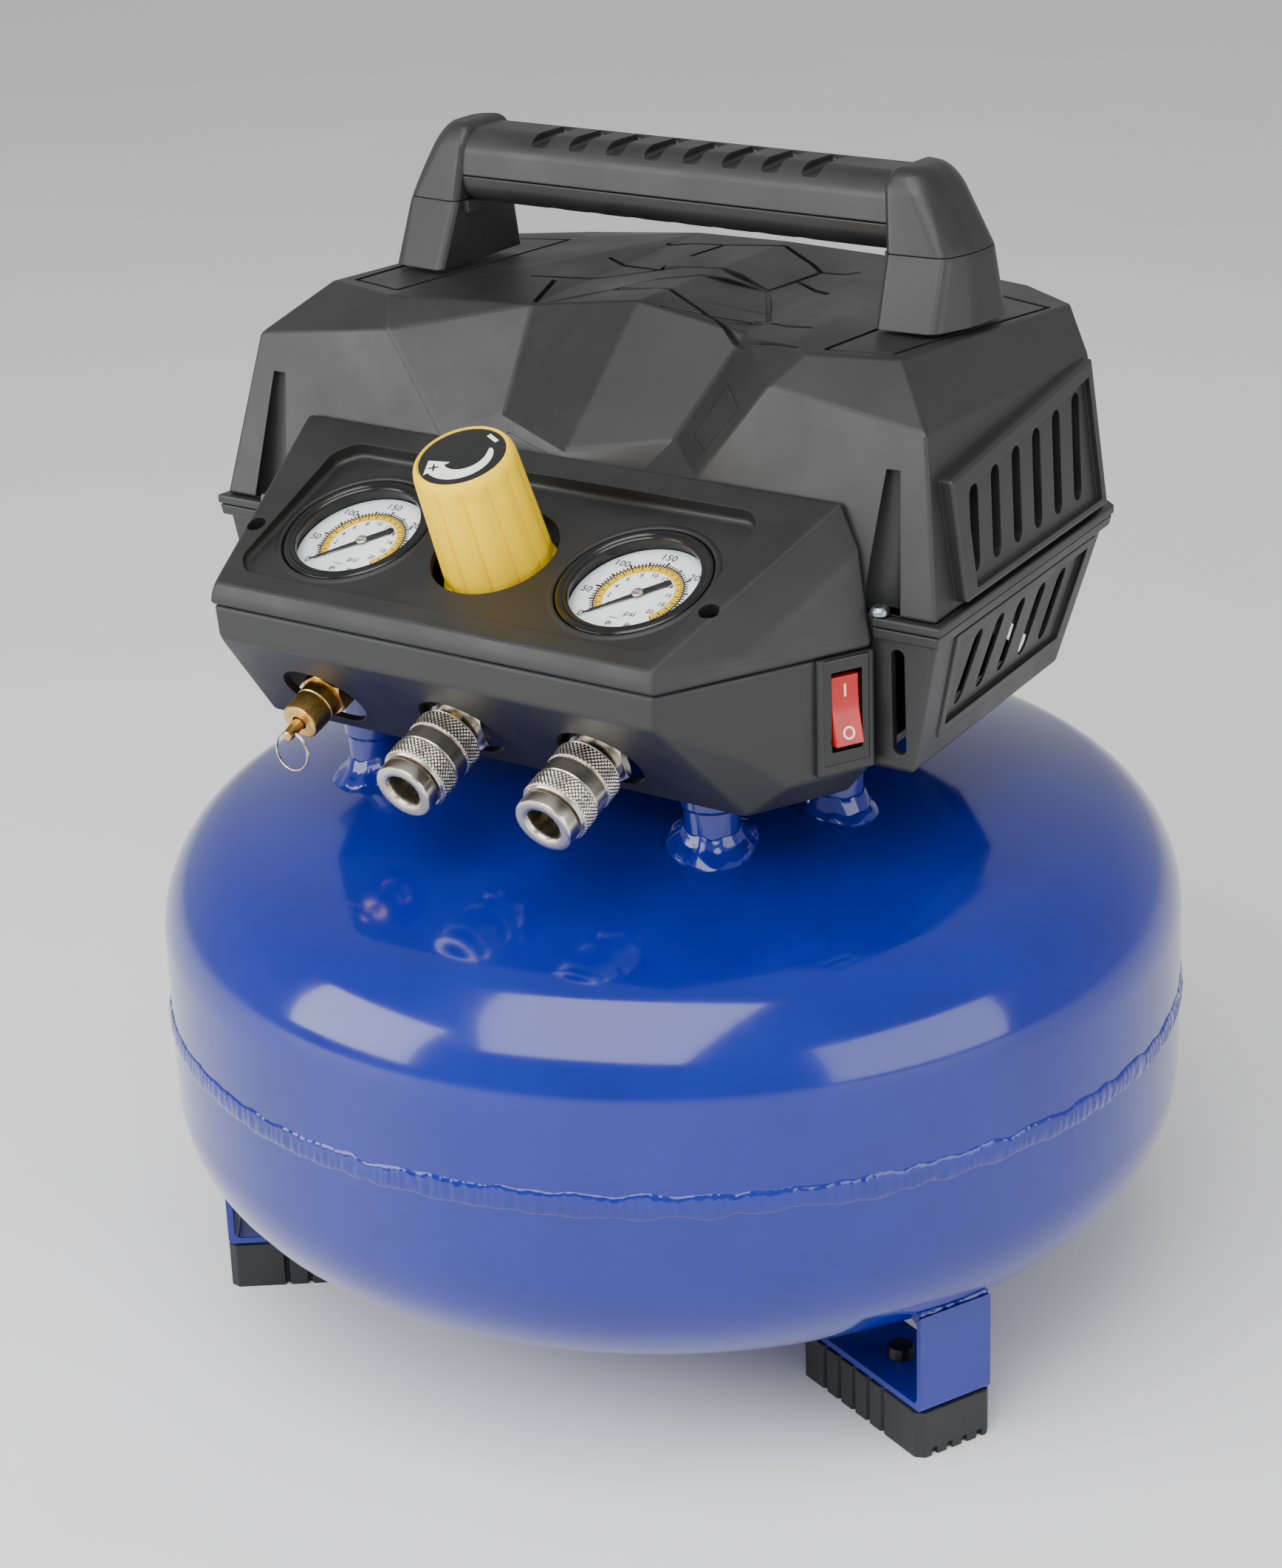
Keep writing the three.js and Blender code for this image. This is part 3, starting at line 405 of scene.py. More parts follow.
def slotOf(look):
    plain = "".join("_" + c.lower() if c.isupper() else c for c in look)
    return slotNames.get(look, plain)


def piece(
    name, bm, look, replaced=(), place=None, body="compressor", slot=None, smooth=32, weighted=True
):
    if place is not None:
        moved(bm, place)
    bmesh.ops.scale(bm, vec=(mm, mm, mm), verts=bm.verts)
    obj = asObject(bm, name)
    obj.data.materials.append(material[look])
    obj.data.shade_smooth()
    obj.data.set_sharp_from_angle(angle=radians(smooth))
    if weighted:
        modifier = obj.modifiers.new("weighted", "WEIGHTED_NORMAL")
        modifier.keep_sharp = True
    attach(obj, body)
    slot or slotOf(look)
    if replaced:
        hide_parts(*replaced)


# Tank.
tank = {
    "radius": 205, "seam": 131, "skirt": 32.6, "knuckle": 48.8, "crown": 481, "wall": 2.4,
    "steps": 144, "gap": 0.15,
}
reach = tank["crown"] - tank["knuckle"]
side = tank["radius"] - tank["knuckle"]
crownCentre = tank["skirt"] - sqrt(reach**2 - side**2)


def headArc(inset, crownSteps, knuckleSteps):
    meet = asin(side / reach)
    crown = tank["crown"] - inset
    knuckle = tank["knuckle"] - inset
    arc = []
    for i in range(crownSteps + 1):
        a = meet * i / crownSteps
        arc.append((crown * sin(a) if i else 0, crownCentre + crown * cos(a)))
    for i in range(1, knuckleSteps + 1):
        a = meet + (pi / 2 - meet) * i / knuckleSteps
        arc.append((side + knuckle * sin(a), tank["skirt"] + knuckle * cos(a)))
    arc.append((tank["radius"] - inset, tank["gap"]))
    return arc


def headShell():
    outside = headArc(0, 26, 20)
    inside = headArc(tank["wall"], 8, 6)
    return lathe([*outside, *reversed(inside)], tank["steps"])


def headTop(x, y):
    return tank["seam"] + crownCentre + sqrt(tank["crown"] ** 2 - x * x - y * y)


def weldFlare(x, y, pipe, foot, seed):
    # A hand-laid fillet of weld metal round a post, lying on the dished head.
    profile = [
        (pipe - 0.6, 8.6), (pipe + 0.5, 8.2), (pipe + 1.2, 6.6), (pipe + 2, 4.6), (foot - 2.6, 3),
        (foot - 0.9, 2), (foot, 0.7), (foot - 0.2, -0.6), (foot - 1.4, -1.6), (pipe - 0.6, -1.6),
    ]
    ring = lathe([*profile, profile[0]], 96)
    for v in ring.verts:
        turn = atan2(v.co.y, v.co.x)
        out = Vector((cos(turn), sin(turn), 0))
        far = (hypot(v.co.x, v.co.y) - pipe) / (foot - pipe)
        wave = noise.noise(Vector((1.3 * out.x, 1.3 * out.y, seed)))
        crest = noise.noise(Vector((v.co.x * 0.16, v.co.y * 0.16, seed + 7)))
        if far > 0.05:
            v.co += out * wave * 2 * far
            v.co.z += crest * 2 * (v.co.z > 0)
        v.co += Vector((x, y, 0))
        v.co.z += headTop(v.co.x, v.co.y)
    return ring


bosses = [(74, -78), (-86, -78), (74, 68), (-86, 68)]
inlet = {"x": 95, "y": -26, "radius": 11}


def upperHead():
    body = shifted(headShell(), 0, 0, tank["seam"])
    extras = []
    for seed, (x, y) in enumerate(bosses):
        low = headTop(x, y) - 2
        profile = [
            (0, low), (10.5, low), (10.5, low + 17), (11.6, low + 18.5), (11.6, 267.6),
            (10.9, 268.6), (0, 268.6),
        ]
        extras.append(shifted(lathe(profile, 48), x, y, 0))
        extras.append(weldFlare(x, y, 10.5, 17.4, seed))
    low = headTop(inlet["x"], inlet["y"]) - 2
    r = inlet["radius"]
    stub = lathe([(0, low), (r, low), (r, 245.4), (10.2, 246), (0, 246)], 40)
    extras.append(shifted(stub, inlet["x"], inlet["y"], 0))
    extras.append(weldFlare(inlet["x"], inlet["y"], 11, 16, 9))
    return merged(body, *extras)


piece("tankUpper", upperHead(), "bluePaint", ["tank_upper_head"], weighted=False)
lowerHead = moved(headShell(), Matrix.Diagonal((1, 1, -1, 1)))
piece(
    "tankLower", shifted(lowerHead, 0, 0, tank["seam"]), "bluePaint", ["tank_lower_head"],
    weighted=False,
)

# Hand-laid bead round the seam: overlapping ripples on a line that wanders a little.
bead = {"half": 6.0, "proud": 1.75, "ripples": 300, "steps": 1800}


def weldBead():
    section = []
    for i in range(9):
        a = pi * i / 8
        out = tank["radius"] - 0.3 + bead["proud"] * sin(a)
        section.append((out, -bead["half"] * cos(a)))
    ring = lathe([*section, section[0]], bead["steps"])
    for v in ring.verts:
        turn = atan2(v.co.y, v.co.x)
        outward = Vector((cos(turn), sin(turn), 0))
        rise = (v.co.x**2 + v.co.y**2) ** 0.5 - tank["radius"] + 0.3
        around = Vector((cos(turn) * 14, sin(turn) * 14, 0))
        drift = noise.noise(around)
        lump = noise.noise(around * 4 + Vector((0, 0, v.co.z * 0.25)))
        phase = (turn / fullTurn * bead["ripples"] + abs(v.co.z) * 0.05 + drift * 1.5) % 1
        ripple = 0.45 * phase * rise / bead["proud"]
        width = 1 + 0.28 * noise.noise(around * 1.7 + Vector((0, 0, 5)))
        v.co -= outward * (ripple + 0.35 * rise * (0.5 + 0.5 * lump))
        v.co.z = v.co.z * width * 0.82 + drift * 1.1
    return ring


piece(
    "seamBead", shifted(weldBead(), 0, 0, tank["seam"]), "bluePaint", ["weld_bead"], smooth=60,
    weighted=False,
)
print("tank made")

# Feet.
foot = {"outer": 190, "inner": 120, "width": 35, "height": 19.5, "strip": 3, "rubberInner": 113}
footTurn = {"right": -22.7, "left": -142.7, "rear": 97.3}


def alongAxis(e, axis):
    return abs((e.verts[0].co - e.verts[1].co).normalized()[axis]) > 0.9


def topOf(e):
    return max(v.co.z for v in e.verts)


def lowOf(e):
    return min(v.co.z for v in e.verts)


def footBracket():
    base = foot["height"] + 0.3
    low = base + foot["strip"]
    x0, x1, t = foot["inner"] + 2, foot["outer"], foot["strip"]
    section = [
        (x0, base), (x1, base), (x1, 61.3), (x1 - t, 59.2), (x1 - t, low), (x0 + t, low),
        (x0 + t, 35), (x0, 34.4),
    ]
    half = foot["width"] / 2 - 1
    bm = moved(prism(section, -half, half), forward)
    soften(bm, 2.6, 5, 40, lambda e: alongAxis(e, 1) and topOf(e) < 30)
    return soften(bm, 0.5, 2, 40)


def armWeld(seed):
    # Lumpy fillet where the outer arm meets the tank.
    bm = rod((foot["outer"] - 3.6, -16, 60.6), (foot["outer"] - 3.6, 16, 60.6), 2.6, sides=14)
    bmesh.ops.subdivide_edges(
        bm, edges=[e for e in bm.edges if abs(e.verts[0].co.y - e.verts[1].co.y) > 1], cuts=24
    )
    for v in bm.verts:
        v.co.z += 1.1 * noise.noise(Vector((seed, v.co.y * 0.35, v.co.z * 0.2)))
        v.co.x += 0.8 * noise.noise(Vector((v.co.x * 0.2, v.co.y * 0.3, seed + 4))) - 0.4
    return bm


def rubberFoot():
    half = foot["width"] / 2
    inner, outer = foot["rubberInner"], foot["outer"]
    edge = []
    for i in range(5):
        x = inner + 16 + 9.4 * i
        edge += [(x - 1.5, half), (x - 0.5, half - 2.1), (x + 0.4, half - 2.1), (x + 0.9, half)]
    outline = [
        (inner + 2.5, half), *edge, (outer - 3, half), (outer, half - 3), (outer, 3 - half),
        (outer - 3, -half), *[(x, -y) for x, y in reversed(edge)], (inner + 2.5, -half),
        (inner, 2.5 - half), (inner, half - 2.5),
    ]
    nicks = []
    for y in (-10, -3, 4, 11):
        nicks.append(block(outer - 1.8, outer + 3, y - 1.2, y + 1.2, -2, 3.2))
    bm = cutBy(prism(outline, 0, foot["height"]), *nicks)
    return soften(bm, 0.8, 2, 30)


for seed, (name, degrees) in enumerate(footTurn.items()):
    turn = Matrix.Rotation(radians(degrees), 4, "Z")
    piece(
        "footBracket" + name.capitalize(), merged(footBracket(), armWeld(seed * 3)), "bluePaint",
        ["foot_bracket_" + name], turn,
    )
    piece(
        "rubberFoot" + name.capitalize(), rubberFoot(), "footRubber", ["rubber_foot_" + name], turn,
    )
print("feet made")

# Upper cover.
ledge = {"bottom": 318.5, "split": 323, "top": 327}
rimOutline = [(163.5, -67.5), (149, 85), (108, 121)]
flangeOutline = [(166.5, -70.5), (152, 88), (110, 124)]
baseOutline = [(153, -66), (141, 63), (100, 98)]
coverMiddle = 27
top = {
    "crest": (0, -10, 411.5), "crestSide": (49, -10, 404.5), "noseSide": (39, -45, 371),
    "nose": (0, -60, 366), "browIn": (87, -54, 400), "browOut": (152, -54, 391),
    "padIn": (95, -42, 410), "padOut": (130, -33, 410), "padBackIn": (95, 88, 406),
    "padBackOut": (133, 86, 404), "shoulderBack": (142, 84, 386), "rearFin": (104, 106, 403.5),
    "rearCrest": (42, 96, 411.5), "rearCrestMid": (0, 96, 412.4), "cheek": (58, -60.1, 362),
    "cheekFoot": (58, -67.5, 327), "front": (163.5, -67.5, 327), "side": (149, 85, 327),
    "rear": (108, 121, 327), "rearMid": (0, 121, 327), "frontMid": (0, -67.5, 327),
}
coverFaces = [
    ["crest", "crestSide", "rearCrest", "rearCrestMid"],
    ["crestSide", "padIn", "padBackIn", "rearCrest"],
    ["crestSide", "browIn", "padIn"],
    ["padIn", "padOut", "padBackOut", "padBackIn"],
    ["padBackIn", "rearFin", "rearCrest"],
    ["padBackIn", "padBackOut", "rearFin"],
    ["crest", "nose", "noseSide", "crestSide"],
    ["crestSide", "noseSide", "cheek", "browIn"],
    ["browIn", "browOut", "padOut", "padIn"],
    ["browIn", "cheek", "cheekFoot", "front", "browOut"],
    ["nose", "frontMid", "cheekFoot", "cheek", "noseSide"],
    ["padOut", "browOut", "shoulderBack", "padBackOut"],
    ["browOut", "front", "side", "shoulderBack"],
    ["shoulderBack", "side", "rear", "rearFin", "padBackOut"],
    ["rearFin", "rear", "rearMid", "rearCrestMid", "rearCrest"],
    ["frontMid", "rearMid", "rear", "side", "front", "cheekFoot"],
]
vent = {"front": -50, "rear": 79, "low": 330, "topFront": 374, "topRear": 386}


def shrunk(point):
    x, y, z = point
    return (
        x * 0.98,
        coverMiddle + (y - coverMiddle) * 0.967,
        z - 3 if z > ledge["top"] else ledge["split"] - 3,
    )


def ventX(y, z):
    return 165.6 - (y + 67) * 0.094 - (z - ledge["top"]) * 0.14


def ventSlab(inset, raised, sunk=-7):
    corners = [
        (vent["front"] + inset * 1.6, vent["low"] + inset * 0.5),
        (vent["rear"] - inset * 0.8, vent["low"] + inset * 0.5),
        (vent["rear"] - inset * 0.8, vent["topRear"] - inset),
        (vent["front"] + inset * 1.6, vent["topFront"] - inset),
    ]
    return hullOf([(ventX(y, z) + d, y, z) for y, z in corners for d in (raised, sunk)])


def slot(x0, x1, y, half, z0, z1, lean=0):
    # An upright opening with round ends, leaning back by lean over its height.
    bm = block(x0, x1, y - half, y + half, z0, z1)
    soften(bm, half * 0.98, 4, 20, lambda e: abs(e.verts[0].co.x - e.verts[1].co.x) > 1)
    if lean:
        tilt = Matrix.Identity(4)
        tilt[1][2] = lean
        moved(bm, Matrix.Translation((0, y, z0)) @ tilt @ Matrix.Translation((0, -y, -z0)))
    return bm


def ventLip(y, high):
    # A thin raised edge along the rear of each opening.
    points = []
    for z in (336.5, high + 0.5):
        back = y + 3.6 + (z - 337) * 0.2
        for across in (back, back + 1.5):
            points += [(ventX(across, z) + d, across, z) for d in (-5, -1.6)]
    return hullOf(points)


def pocketCone(extra):
    return rod((141, -66.5, 327.3 - extra), (140.5, -56, 377 + extra), 8 + extra, 3 + extra, 40)


grooves = [
    [(-50, -8), (-57, 15)],
    [(-43, -8), (-27, 9), (1, 34), (29, 36)],
    [(-66, 12), (-40, 31), (-24, 40), (2, 46), (29, 36)],
    [(-54, 48), (-24, 40)],
    [(-26, 10), (1, 10), (28, -4), (86, -33)],
    [(10, -8), (28, -4), (52, 2), (84, -10)],
    [(29, 36), (50, 4)],
    [(29, 36), (35, 65), (58, 69)],
    [(33, 51), (84, 24)],
    [(35, 65), (4, 88), (-20, 80), (-45, 76)],
    [(-24, 40), (-20, 80)],
    [(98, -33), (123, -27), (130, 74), (97, 80), (98, -33)],
    [(-98, -33), (-123, -27), (-130, 74), (-97, 80), (-98, -33)],
]


def grooveTools(shape, width, depth):
    # Thin blades that follow the surface below each line.
    tree = BVHTree.FromBMesh(shape)
    blades = []
    for line in grooves:
        for a, b in zip(line, line[1:]):
            a, b = Vector(a), Vector(b)
            count = max(1, round((b - a).length / 9))
            spots = []
            for i in range(count + 1):
                at = a.lerp(b, i / count)
                hit = tree.ray_cast(Vector((at.x, at.y, 500)), Vector((0, 0, -1)))[0]
                spots.append(hit)
            for p, q in zip(spots, spots[1:]):
                across = Vector((p.y - q.y, q.x - p.x, 0)).normalized() * width / 2
                along = (q - p).normalized() * 0.4
                ends = [end + c for end in (p - along, q + along) for c in (across, -across)]
                blades.append(hullOf([end + Vector((0, 0, h)) for end in ends for h in (-depth, 2)]))
    return blades


def upperCover():
    outside = soften(faceted(top, coverFaces), 1.3, 3, 7)
    blades = grooveTools(outside, 2.1, 2.2)
    inside = faceted(top, coverFaces, shrunk)
    inside = cutBy(inside, bothSides(lambda: pocketCone(3)))
    rim = [p for z in (ledge["split"] + 0.15, ledge["top"] - 0.2) for p in mirrored(flangeOutline, z)]
    mouthLine = [(x - 3, y * 0.96) for x, y in rimOutline]
    mouth = [p for z in (ledge["split"] - 2, ledge["top"] + 4) for p in mirrored(mouthLine, z)]
    flange = cutBy(soften(hullOf(rim), 0.8, 2), hullOf(mouth))
    steps = [("DIFFERENCE", inside), ("UNION", flange)]
    frames = bothSides(lambda: soften(ventSlab(0, 2.6), 1.2, 2, 30))
    panels = bothSides(lambda: cutBy(ventSlab(6, 10), ventSlab(0, 0.2)))
    pockets = bothSides(lambda: pocketCone(0))
    steps += [("UNION", frames), ("DIFFERENCE", panels), ("DIFFERENCE", pockets)]
    for i in range(6):
        y = vent["front"] + 14.5 + i * 18.5
        high = vent["topFront"] - 8 + (y - vent["front"]) * 0.093
        steps.append(("UNION", bothSides(lambda: ventLip(y, high))))
        steps.append(("DIFFERENCE", bothSides(lambda: slot(140.5, 175, y, 3.7, 337, high, 0.2))))
    steps.append(("DIFFERENCE", block(-139.4, 139.4, -80, -67.8, 310, 328)))
    steps += [("DIFFERENCE", blade) for blade in blades]
    return combined(outside, steps)


piece("upperShroud", upperCover(), "blackMoulding", ["upper_cover"], smooth=14)
print("upper cover made")


# Lower cover.
def skirtX(y, z):
    t = (ledge["bottom"] - z) / (ledge["bottom"] - 268)
    return 163.5 - 10.5 * t - (y + 67) * (0.095 - 0.002 * t)


def skirtSlab(corners, inner, outer):
    return hullOf([(skirtX(y, z) + d, y, z) for y, z in corners for d in (inner, outer)])


def frontSlot():
    bm = block(145, 150.5, -75, -60, 275, 315)
    return soften(bm, 2.4, 4, 20, lambda e: abs(e.verts[0].co.y - e.verts[1].co.y) > 1)


def insetLine(outline):
    return [(x * 0.98, coverMiddle + (y - coverMiddle) * 0.967) for x, y in outline]


def lowerCover():
    outer = [*mirrored(rimOutline, ledge["bottom"] + 1), *mirrored(baseOutline, 268)]
    outside = soften(hullOf(outer), 2, 3, 7)
    inside = hullOf(
        [
            *mirrored(insetLine(rimOutline), ledge["split"] + 2),
            *mirrored(insetLine(rimOutline), ledge["bottom"]),
            *mirrored(insetLine(baseOutline), 262),
        ]
    )
    flange = soften(
        hullOf(
            [
                *mirrored([(x - 0.6, y * 0.994) for x, y in flangeOutline], ledge["split"] - 0.15),
                *mirrored([(x - 1.4, y * 0.988) for x, y in flangeOutline], ledge["bottom"]),
            ]
        ),
        0.7, 2,
    )
    sunk = [(-46, 281), (-46, 314), (70, 314), (56, 281)]
    rim = [(-50, 277), (-50, 317.5), (76, 317.5), (58, 277)]
    steps = [
        ("UNION", flange),
        ("UNION", bothSides(lambda: soften(skirtSlab(rim, -2, 0.8), 0.5, 2, 30))),
        ("DIFFERENCE", inside),
        ("DIFFERENCE", bothSides(lambda: skirtSlab(sunk, -1.2, 5))),
    ]
    for i in range(5):
        y = -36 + i * 19
        steps.append(("DIFFERENCE", bothSides(lambda: slot(120, 175, y + 2, 3.6, 285, 311, 0.4))))
    steps += [
        ("DIFFERENCE", block(-104, 104, -80, -50, 260, 326)),
        ("DIFFERENCE", block(-139.4, 139.4, -80, -67.8, 260, 326)),
        ("DIFFERENCE", rod((60, 90, 296), (60, 130, 296), 9.3, sides=32)),
        ("DIFFERENCE", bothSides(frontSlot)),
    ]
    return combined(outside, steps)


piece("lowerShroud", lowerCover(), "blackMoulding", ["lower_cover"], smooth=14)
print("lower cover made")

# Console.
control = Matrix.Translation((0, -102.3, 331.6)) @ Matrix.Rotation(radians(22), 4, "X")
gauge = {"x": 63.2, "y": -2, "bezel": 29.4}
panel = {
    "frontMid": (0, -149, 324), "corner": (99, -149, 324), "back": (122, -61.2, 364),
    "backMid": (0, -61.2, 364), "bend": (116, -117, 322), "bevelBack": (131, -64.1, 349),
    "rimFrontMid": (0, -150.5, 318.5), "rimFront": (100.5, -150.5, 318.5),
    "rimSide": (138.7, -70, 318.5), "baseFrontMid": (0, -150.5, 315.3),
    "baseFront": (100.7, -150.5, 315.3), "baseSide": (139, -70, 315.3), "baseMid": (0, -70, 315.3),
}
panelFaces = [
    ["frontMid", "corner", "back", "backMid"],
    ["corner", "bend", "bevelBack", "back"],
    ["frontMid", "rimFrontMid", "rimFront", "corner"],
    ["bend", "corner", "rimFront", "rimSide", "bevelBack"],
    ["rimFrontMid", "baseFrontMid", "baseFront", "rimFront"],
    ["rimFront", "baseFront", "baseSide", "rimSide"],
    ["baseFrontMid", "baseMid", "baseSide", "baseFront"],
    ["backMid", "back", "bevelBack", "rimSide", "baseSide", "baseMid"],
]


def panelHollow(point):
    x, y, z = point
    return (x * (1 - 3 / 118), y + 3.5 if y < -100 else y + 10, z - 6 if z < 318.6 else z - 3)


def recessBlock(extra, low, high, fillet=0):
    h, front, back, c = 97 + extra, -38 - extra, 38.4 + extra, 7
    outline = [
        (h, front + c), (h, back - c), (h - c, back), (c - h, back), (-h, back - c),
        (-h, front + c), (c - h, front), (h - c, front),
    ]
    bm = prism(outline, low, high)
    if fillet:
        soften(bm, 3, 3, 30, lambda e: abs(e.verts[0].co.z - e.verts[1].co.z) > 5)
        soften(bm, fillet, 3, 40, lambda e: topOf(e) < low + 0.1)
    return moved(bm, control)


def consolePanel():
    outside = soften(faceted(panel, panelFaces), 1.5, 3, 7)
    backing = within(faceted(panel, panelFaces), recessBlock(3, 5, 40))
    steps = [
        ("DIFFERENCE", faceted(panel, panelFaces, panelHollow)),
        ("UNION", backing),
        ("DIFFERENCE", recessBlock(0, 8, 60, 1.8)),
    ]
    profile = [(29.7, 6), (32.6, 6), (32.2, 8.1), (31, 8.6), (30.1, 8.5), (29.7, 8.1), (29.7, 6)]
    collar = lathe(profile, 96)
    for sign in (-1, 1):
        x, y = sign * gauge["x"], gauge["y"]
        steps.append(("UNION", moved(shifted(collar.copy(), x, y, 0), control)))
        bore = rod((x, y, -10), (x, y, 30), gauge["bezel"] + 0.3, sides=96)
        steps.append(("DIFFERENCE", moved(bore, control)))
        hole = rod((sign * 103, -113, 323), (sign * 103, -124, 350), 3.8, sides=28)
        steps.append(("DIFFERENCE", hole))
    collar.free()
    steps.append(("DIFFERENCE", moved(rod((0, 0, -20), (0, 0, 40), 24.6, sides=72), control)))
    return combined(outside, steps)


# The console panel here and its housing below take the darker copy of the black moulding; the darker
# tone is painted shade.
piece("consoleTop", consolePanel(), "consoleMoulding", ["console_panel"], smooth=14)

housing = {
    "topFrontMid": (0, -149.5, 315), "topFront": (99.8, -149.5, 315), "topSide": (138.4, -68.6, 315),
    "topMid": (0, -68.6, 315), "bandMid": (0, -149, 302), "band": (99, -149, 302),
    "chin": (115.5, -115, 283), "low": (123, -99, 269), "lowSide": (138, -68.6, 270),
    "foot": (110, -109, 258), "footMid": (0, -109, 258), "footBack": (128, -68.6, 258),
    "footBackMid": (0, -68.6, 258),
}
housingFaces = [
    ["topFrontMid", "topFront", "topSide", "topMid"],
    ["topFrontMid", "bandMid", "band", "topFront"],
    ["bandMid", "footMid", "foot", "band"],
    ["band", "foot", "low", "chin"],
    ["topFront", "band", "chin", "low", "lowSide", "topSide"],
    ["foot", "footBack", "lowSide", "low"],
    ["footMid", "footBackMid", "footBack", "foot"],
    ["topMid", "topSide", "lowSide", "footBack", "footBackMid"],
]
switchPlace = Matrix.Translation((133.6, -80.3, 294.5)) @ Matrix.Rotation(radians(-26.2), 4, "Z")


def housingHollow(point):
    x, y, z = point
    rear = y > -80
    if z <= 258:
        return (x * 0.973, -60 if rear else -98, 250)
    if z >= 315:
        return (x * 0.973, -60 if rear else y + 3, 325)
    return (x * 0.973, -60 if rear else y + 2.4, z + 2)


def consoleHousing():
    outside = soften(faceted(housing, housingFaces), 1.6, 3, 7)
    steps = [("DIFFERENCE", faceted(housing, housingFaces, housingHollow))]
    for x in (-69, -4, 59):
        port = rod((x, -20, -42.6), (x, -75, -42.6), 17, sides=56)
        steps.append(("DIFFERENCE", moved(port, control)))
    opening = moved(block(-20, 8, -8.3, 8.3, -17.3, 17.3), switchPlace)
    surround = moved(soften(block(-1.2, 1.4, -12, 12, -24, 20.4), 1.0, 2, 30), switchPlace)
    steps += [("UNION", surround), ("DIFFERENCE", opening)]
    return combined(outside, steps)


piece("consoleBody", consoleHousing(), "consoleMoulding", ["console_housing"], smooth=14)
print("console made")

# Handle.
posts = {
    "foot": [(99.5, -3), (124, -1), (131, 18), (131, 40), (122, 52), (99.5, 52)],
    "split": [(98, 7), (123, 9), (127.5, 22), (127.5, 38), (121, 46), (98, 46)],
    "shoulder": [(95.5, 10.5), (109, 11.5), (115, 20), (115, 36), (109, 44), (95.5, 44.5)],
    "cap": [(96, 15), (105, 16), (109, 22), (109, 33), (105, 39), (96, 40)],
}
grip = {"half": 97.2, "front": 11, "back": 44, "parting": 446}


def post(low, high):
    # One tapering post, cut to the part between two heights.
    rings = [("foot", 410.3), ("split", 436), ("shoulder", 460), ("cap", 466)]
    whole = hullOf([(x, y, z) for name, z in rings[:2] for x, y in posts[name]])
    upper = hullOf([(x, y, z) for name, z in rings[1:] for x, y in posts[name]])
    bm = soften(joined(whole, upper), 3.6, 4, 14, lambda e: topOf(e) > 411)
    bm = within(bm, block(60, 160, -30, 80, low, high))
    return soften(bm, 0.45, 2, 60)


ontoX = Matrix(((0, 0, 1, 0), (1, 0, 0, 0), (0, 1, 0, 0), (0, 0, 0, 1)))


def lyingPrism(outline, x0, x1):
    # An outline of (y, z), stretched along X.
    return moved(prism(outline, x0, x1), ontoX)


def handleUpper():
    f, b = grip["front"], grip["back"]
    base = grip["parting"] + 0.15
    section = [(f, base), (b, base), (b - 1, 459), (b - 6, 463.9), (f + 7, 463.9), (f + 1, 458)]
    bar = lyingPrism(section, -grip["half"], grip["half"])
    soften(bar, 3.4, 5, 12, lambda e: alongAxis(e, 0) and lowOf(e) > base + 1)
    soften(bar, 0.5, 2, 40, lambda e: alongAxis(e, 0) and topOf(e) < base + 1)
    notches = []
    for i in range(8):
        x = -62 + i * 17.7
        corners = []
        for y, d, low in ((6, 0, 459), (35.5, 1.5, 461.2)):
            corners += [(x + s + d, y, z) for s in (-3.9, 3.9) for z in (low, 470)]
        notches.append(soften(hullOf(corners), 1.7, 4, 30))
    bar = cutBy(bar, *notches)
    ends = bothSides(lambda: post(436.15, 470))
    return joined(ends, bar)


def handleLower():
    f, b = grip["front"], grip["back"]
    base = grip["parting"] - 0.15
    section = [(f, base), (b, base), (b - 1, 439.5), (b - 7, 434.6), (f + 7, 434.6), (f + 1, 439.5)]
    bar = lyingPrism(section, -grip["half"], grip["half"])
    soften(bar, 3, 4, 12, lambda e: alongAxis(e, 0) and topOf(e) < base - 1)
    soften(bar, 0.5, 2, 40, lambda e: alongAxis(e, 0) and lowOf(e) > base - 1)
    # Finger waves along the underside.
    waves = []
    for i in range(129):
        x = -grip["half"] - 3 + i * (grip["half"] + 3) / 64
        fade = min(1, max(0, (74 - abs(x)) / 10))
        waves.append((x, -434.4 - 1.3 * fade * (0.5 + 0.5 * cos(fullTurn * x / 19))))
    outline = [(-grip["half"] - 3, -450), *[(x, z) for x, z in waves], (grip["half"] + 3, -450)]
    stand = Matrix.Rotation(-pi / 2, 4, "X")
    trim = moved(prism(outline, 5, 50), stand)
    bar = within(bar, trim)
    ears = bothSides(lambda: block(95.8, 102, 12, 43, 431, 435.7))
    ends = bothSides(lambda: post(410.3, 435.85))
    return joined(ends, ears, bar)


piece("handleTop", handleUpper(), "blackMoulding", ["handle_upper"], smooth=14)
piece("handleBase", handleLower(), "blackMoulding", ["handle_lower"], smooth=14)
print("handle made")


# Gauges.
def arcBand(inner, outer, start, end, low, high, steps=72):
    spots = [radians(start + (end - start) * i / steps) for i in range(steps + 1)]
    outline = [(outer * cos(a), outer * sin(a)) for a in spots]
    outline += [(inner * cos(a), inner * sin(a)) for a in reversed(spots)]
    return prism(outline, low, high)


def tick(inner, outer, degrees, width, low, high):
    bar = block(inner, outer, -width / 2, width / 2, low, high)
    return moved(bar, Matrix.Rotation(radians(degrees), 4, "Z"))


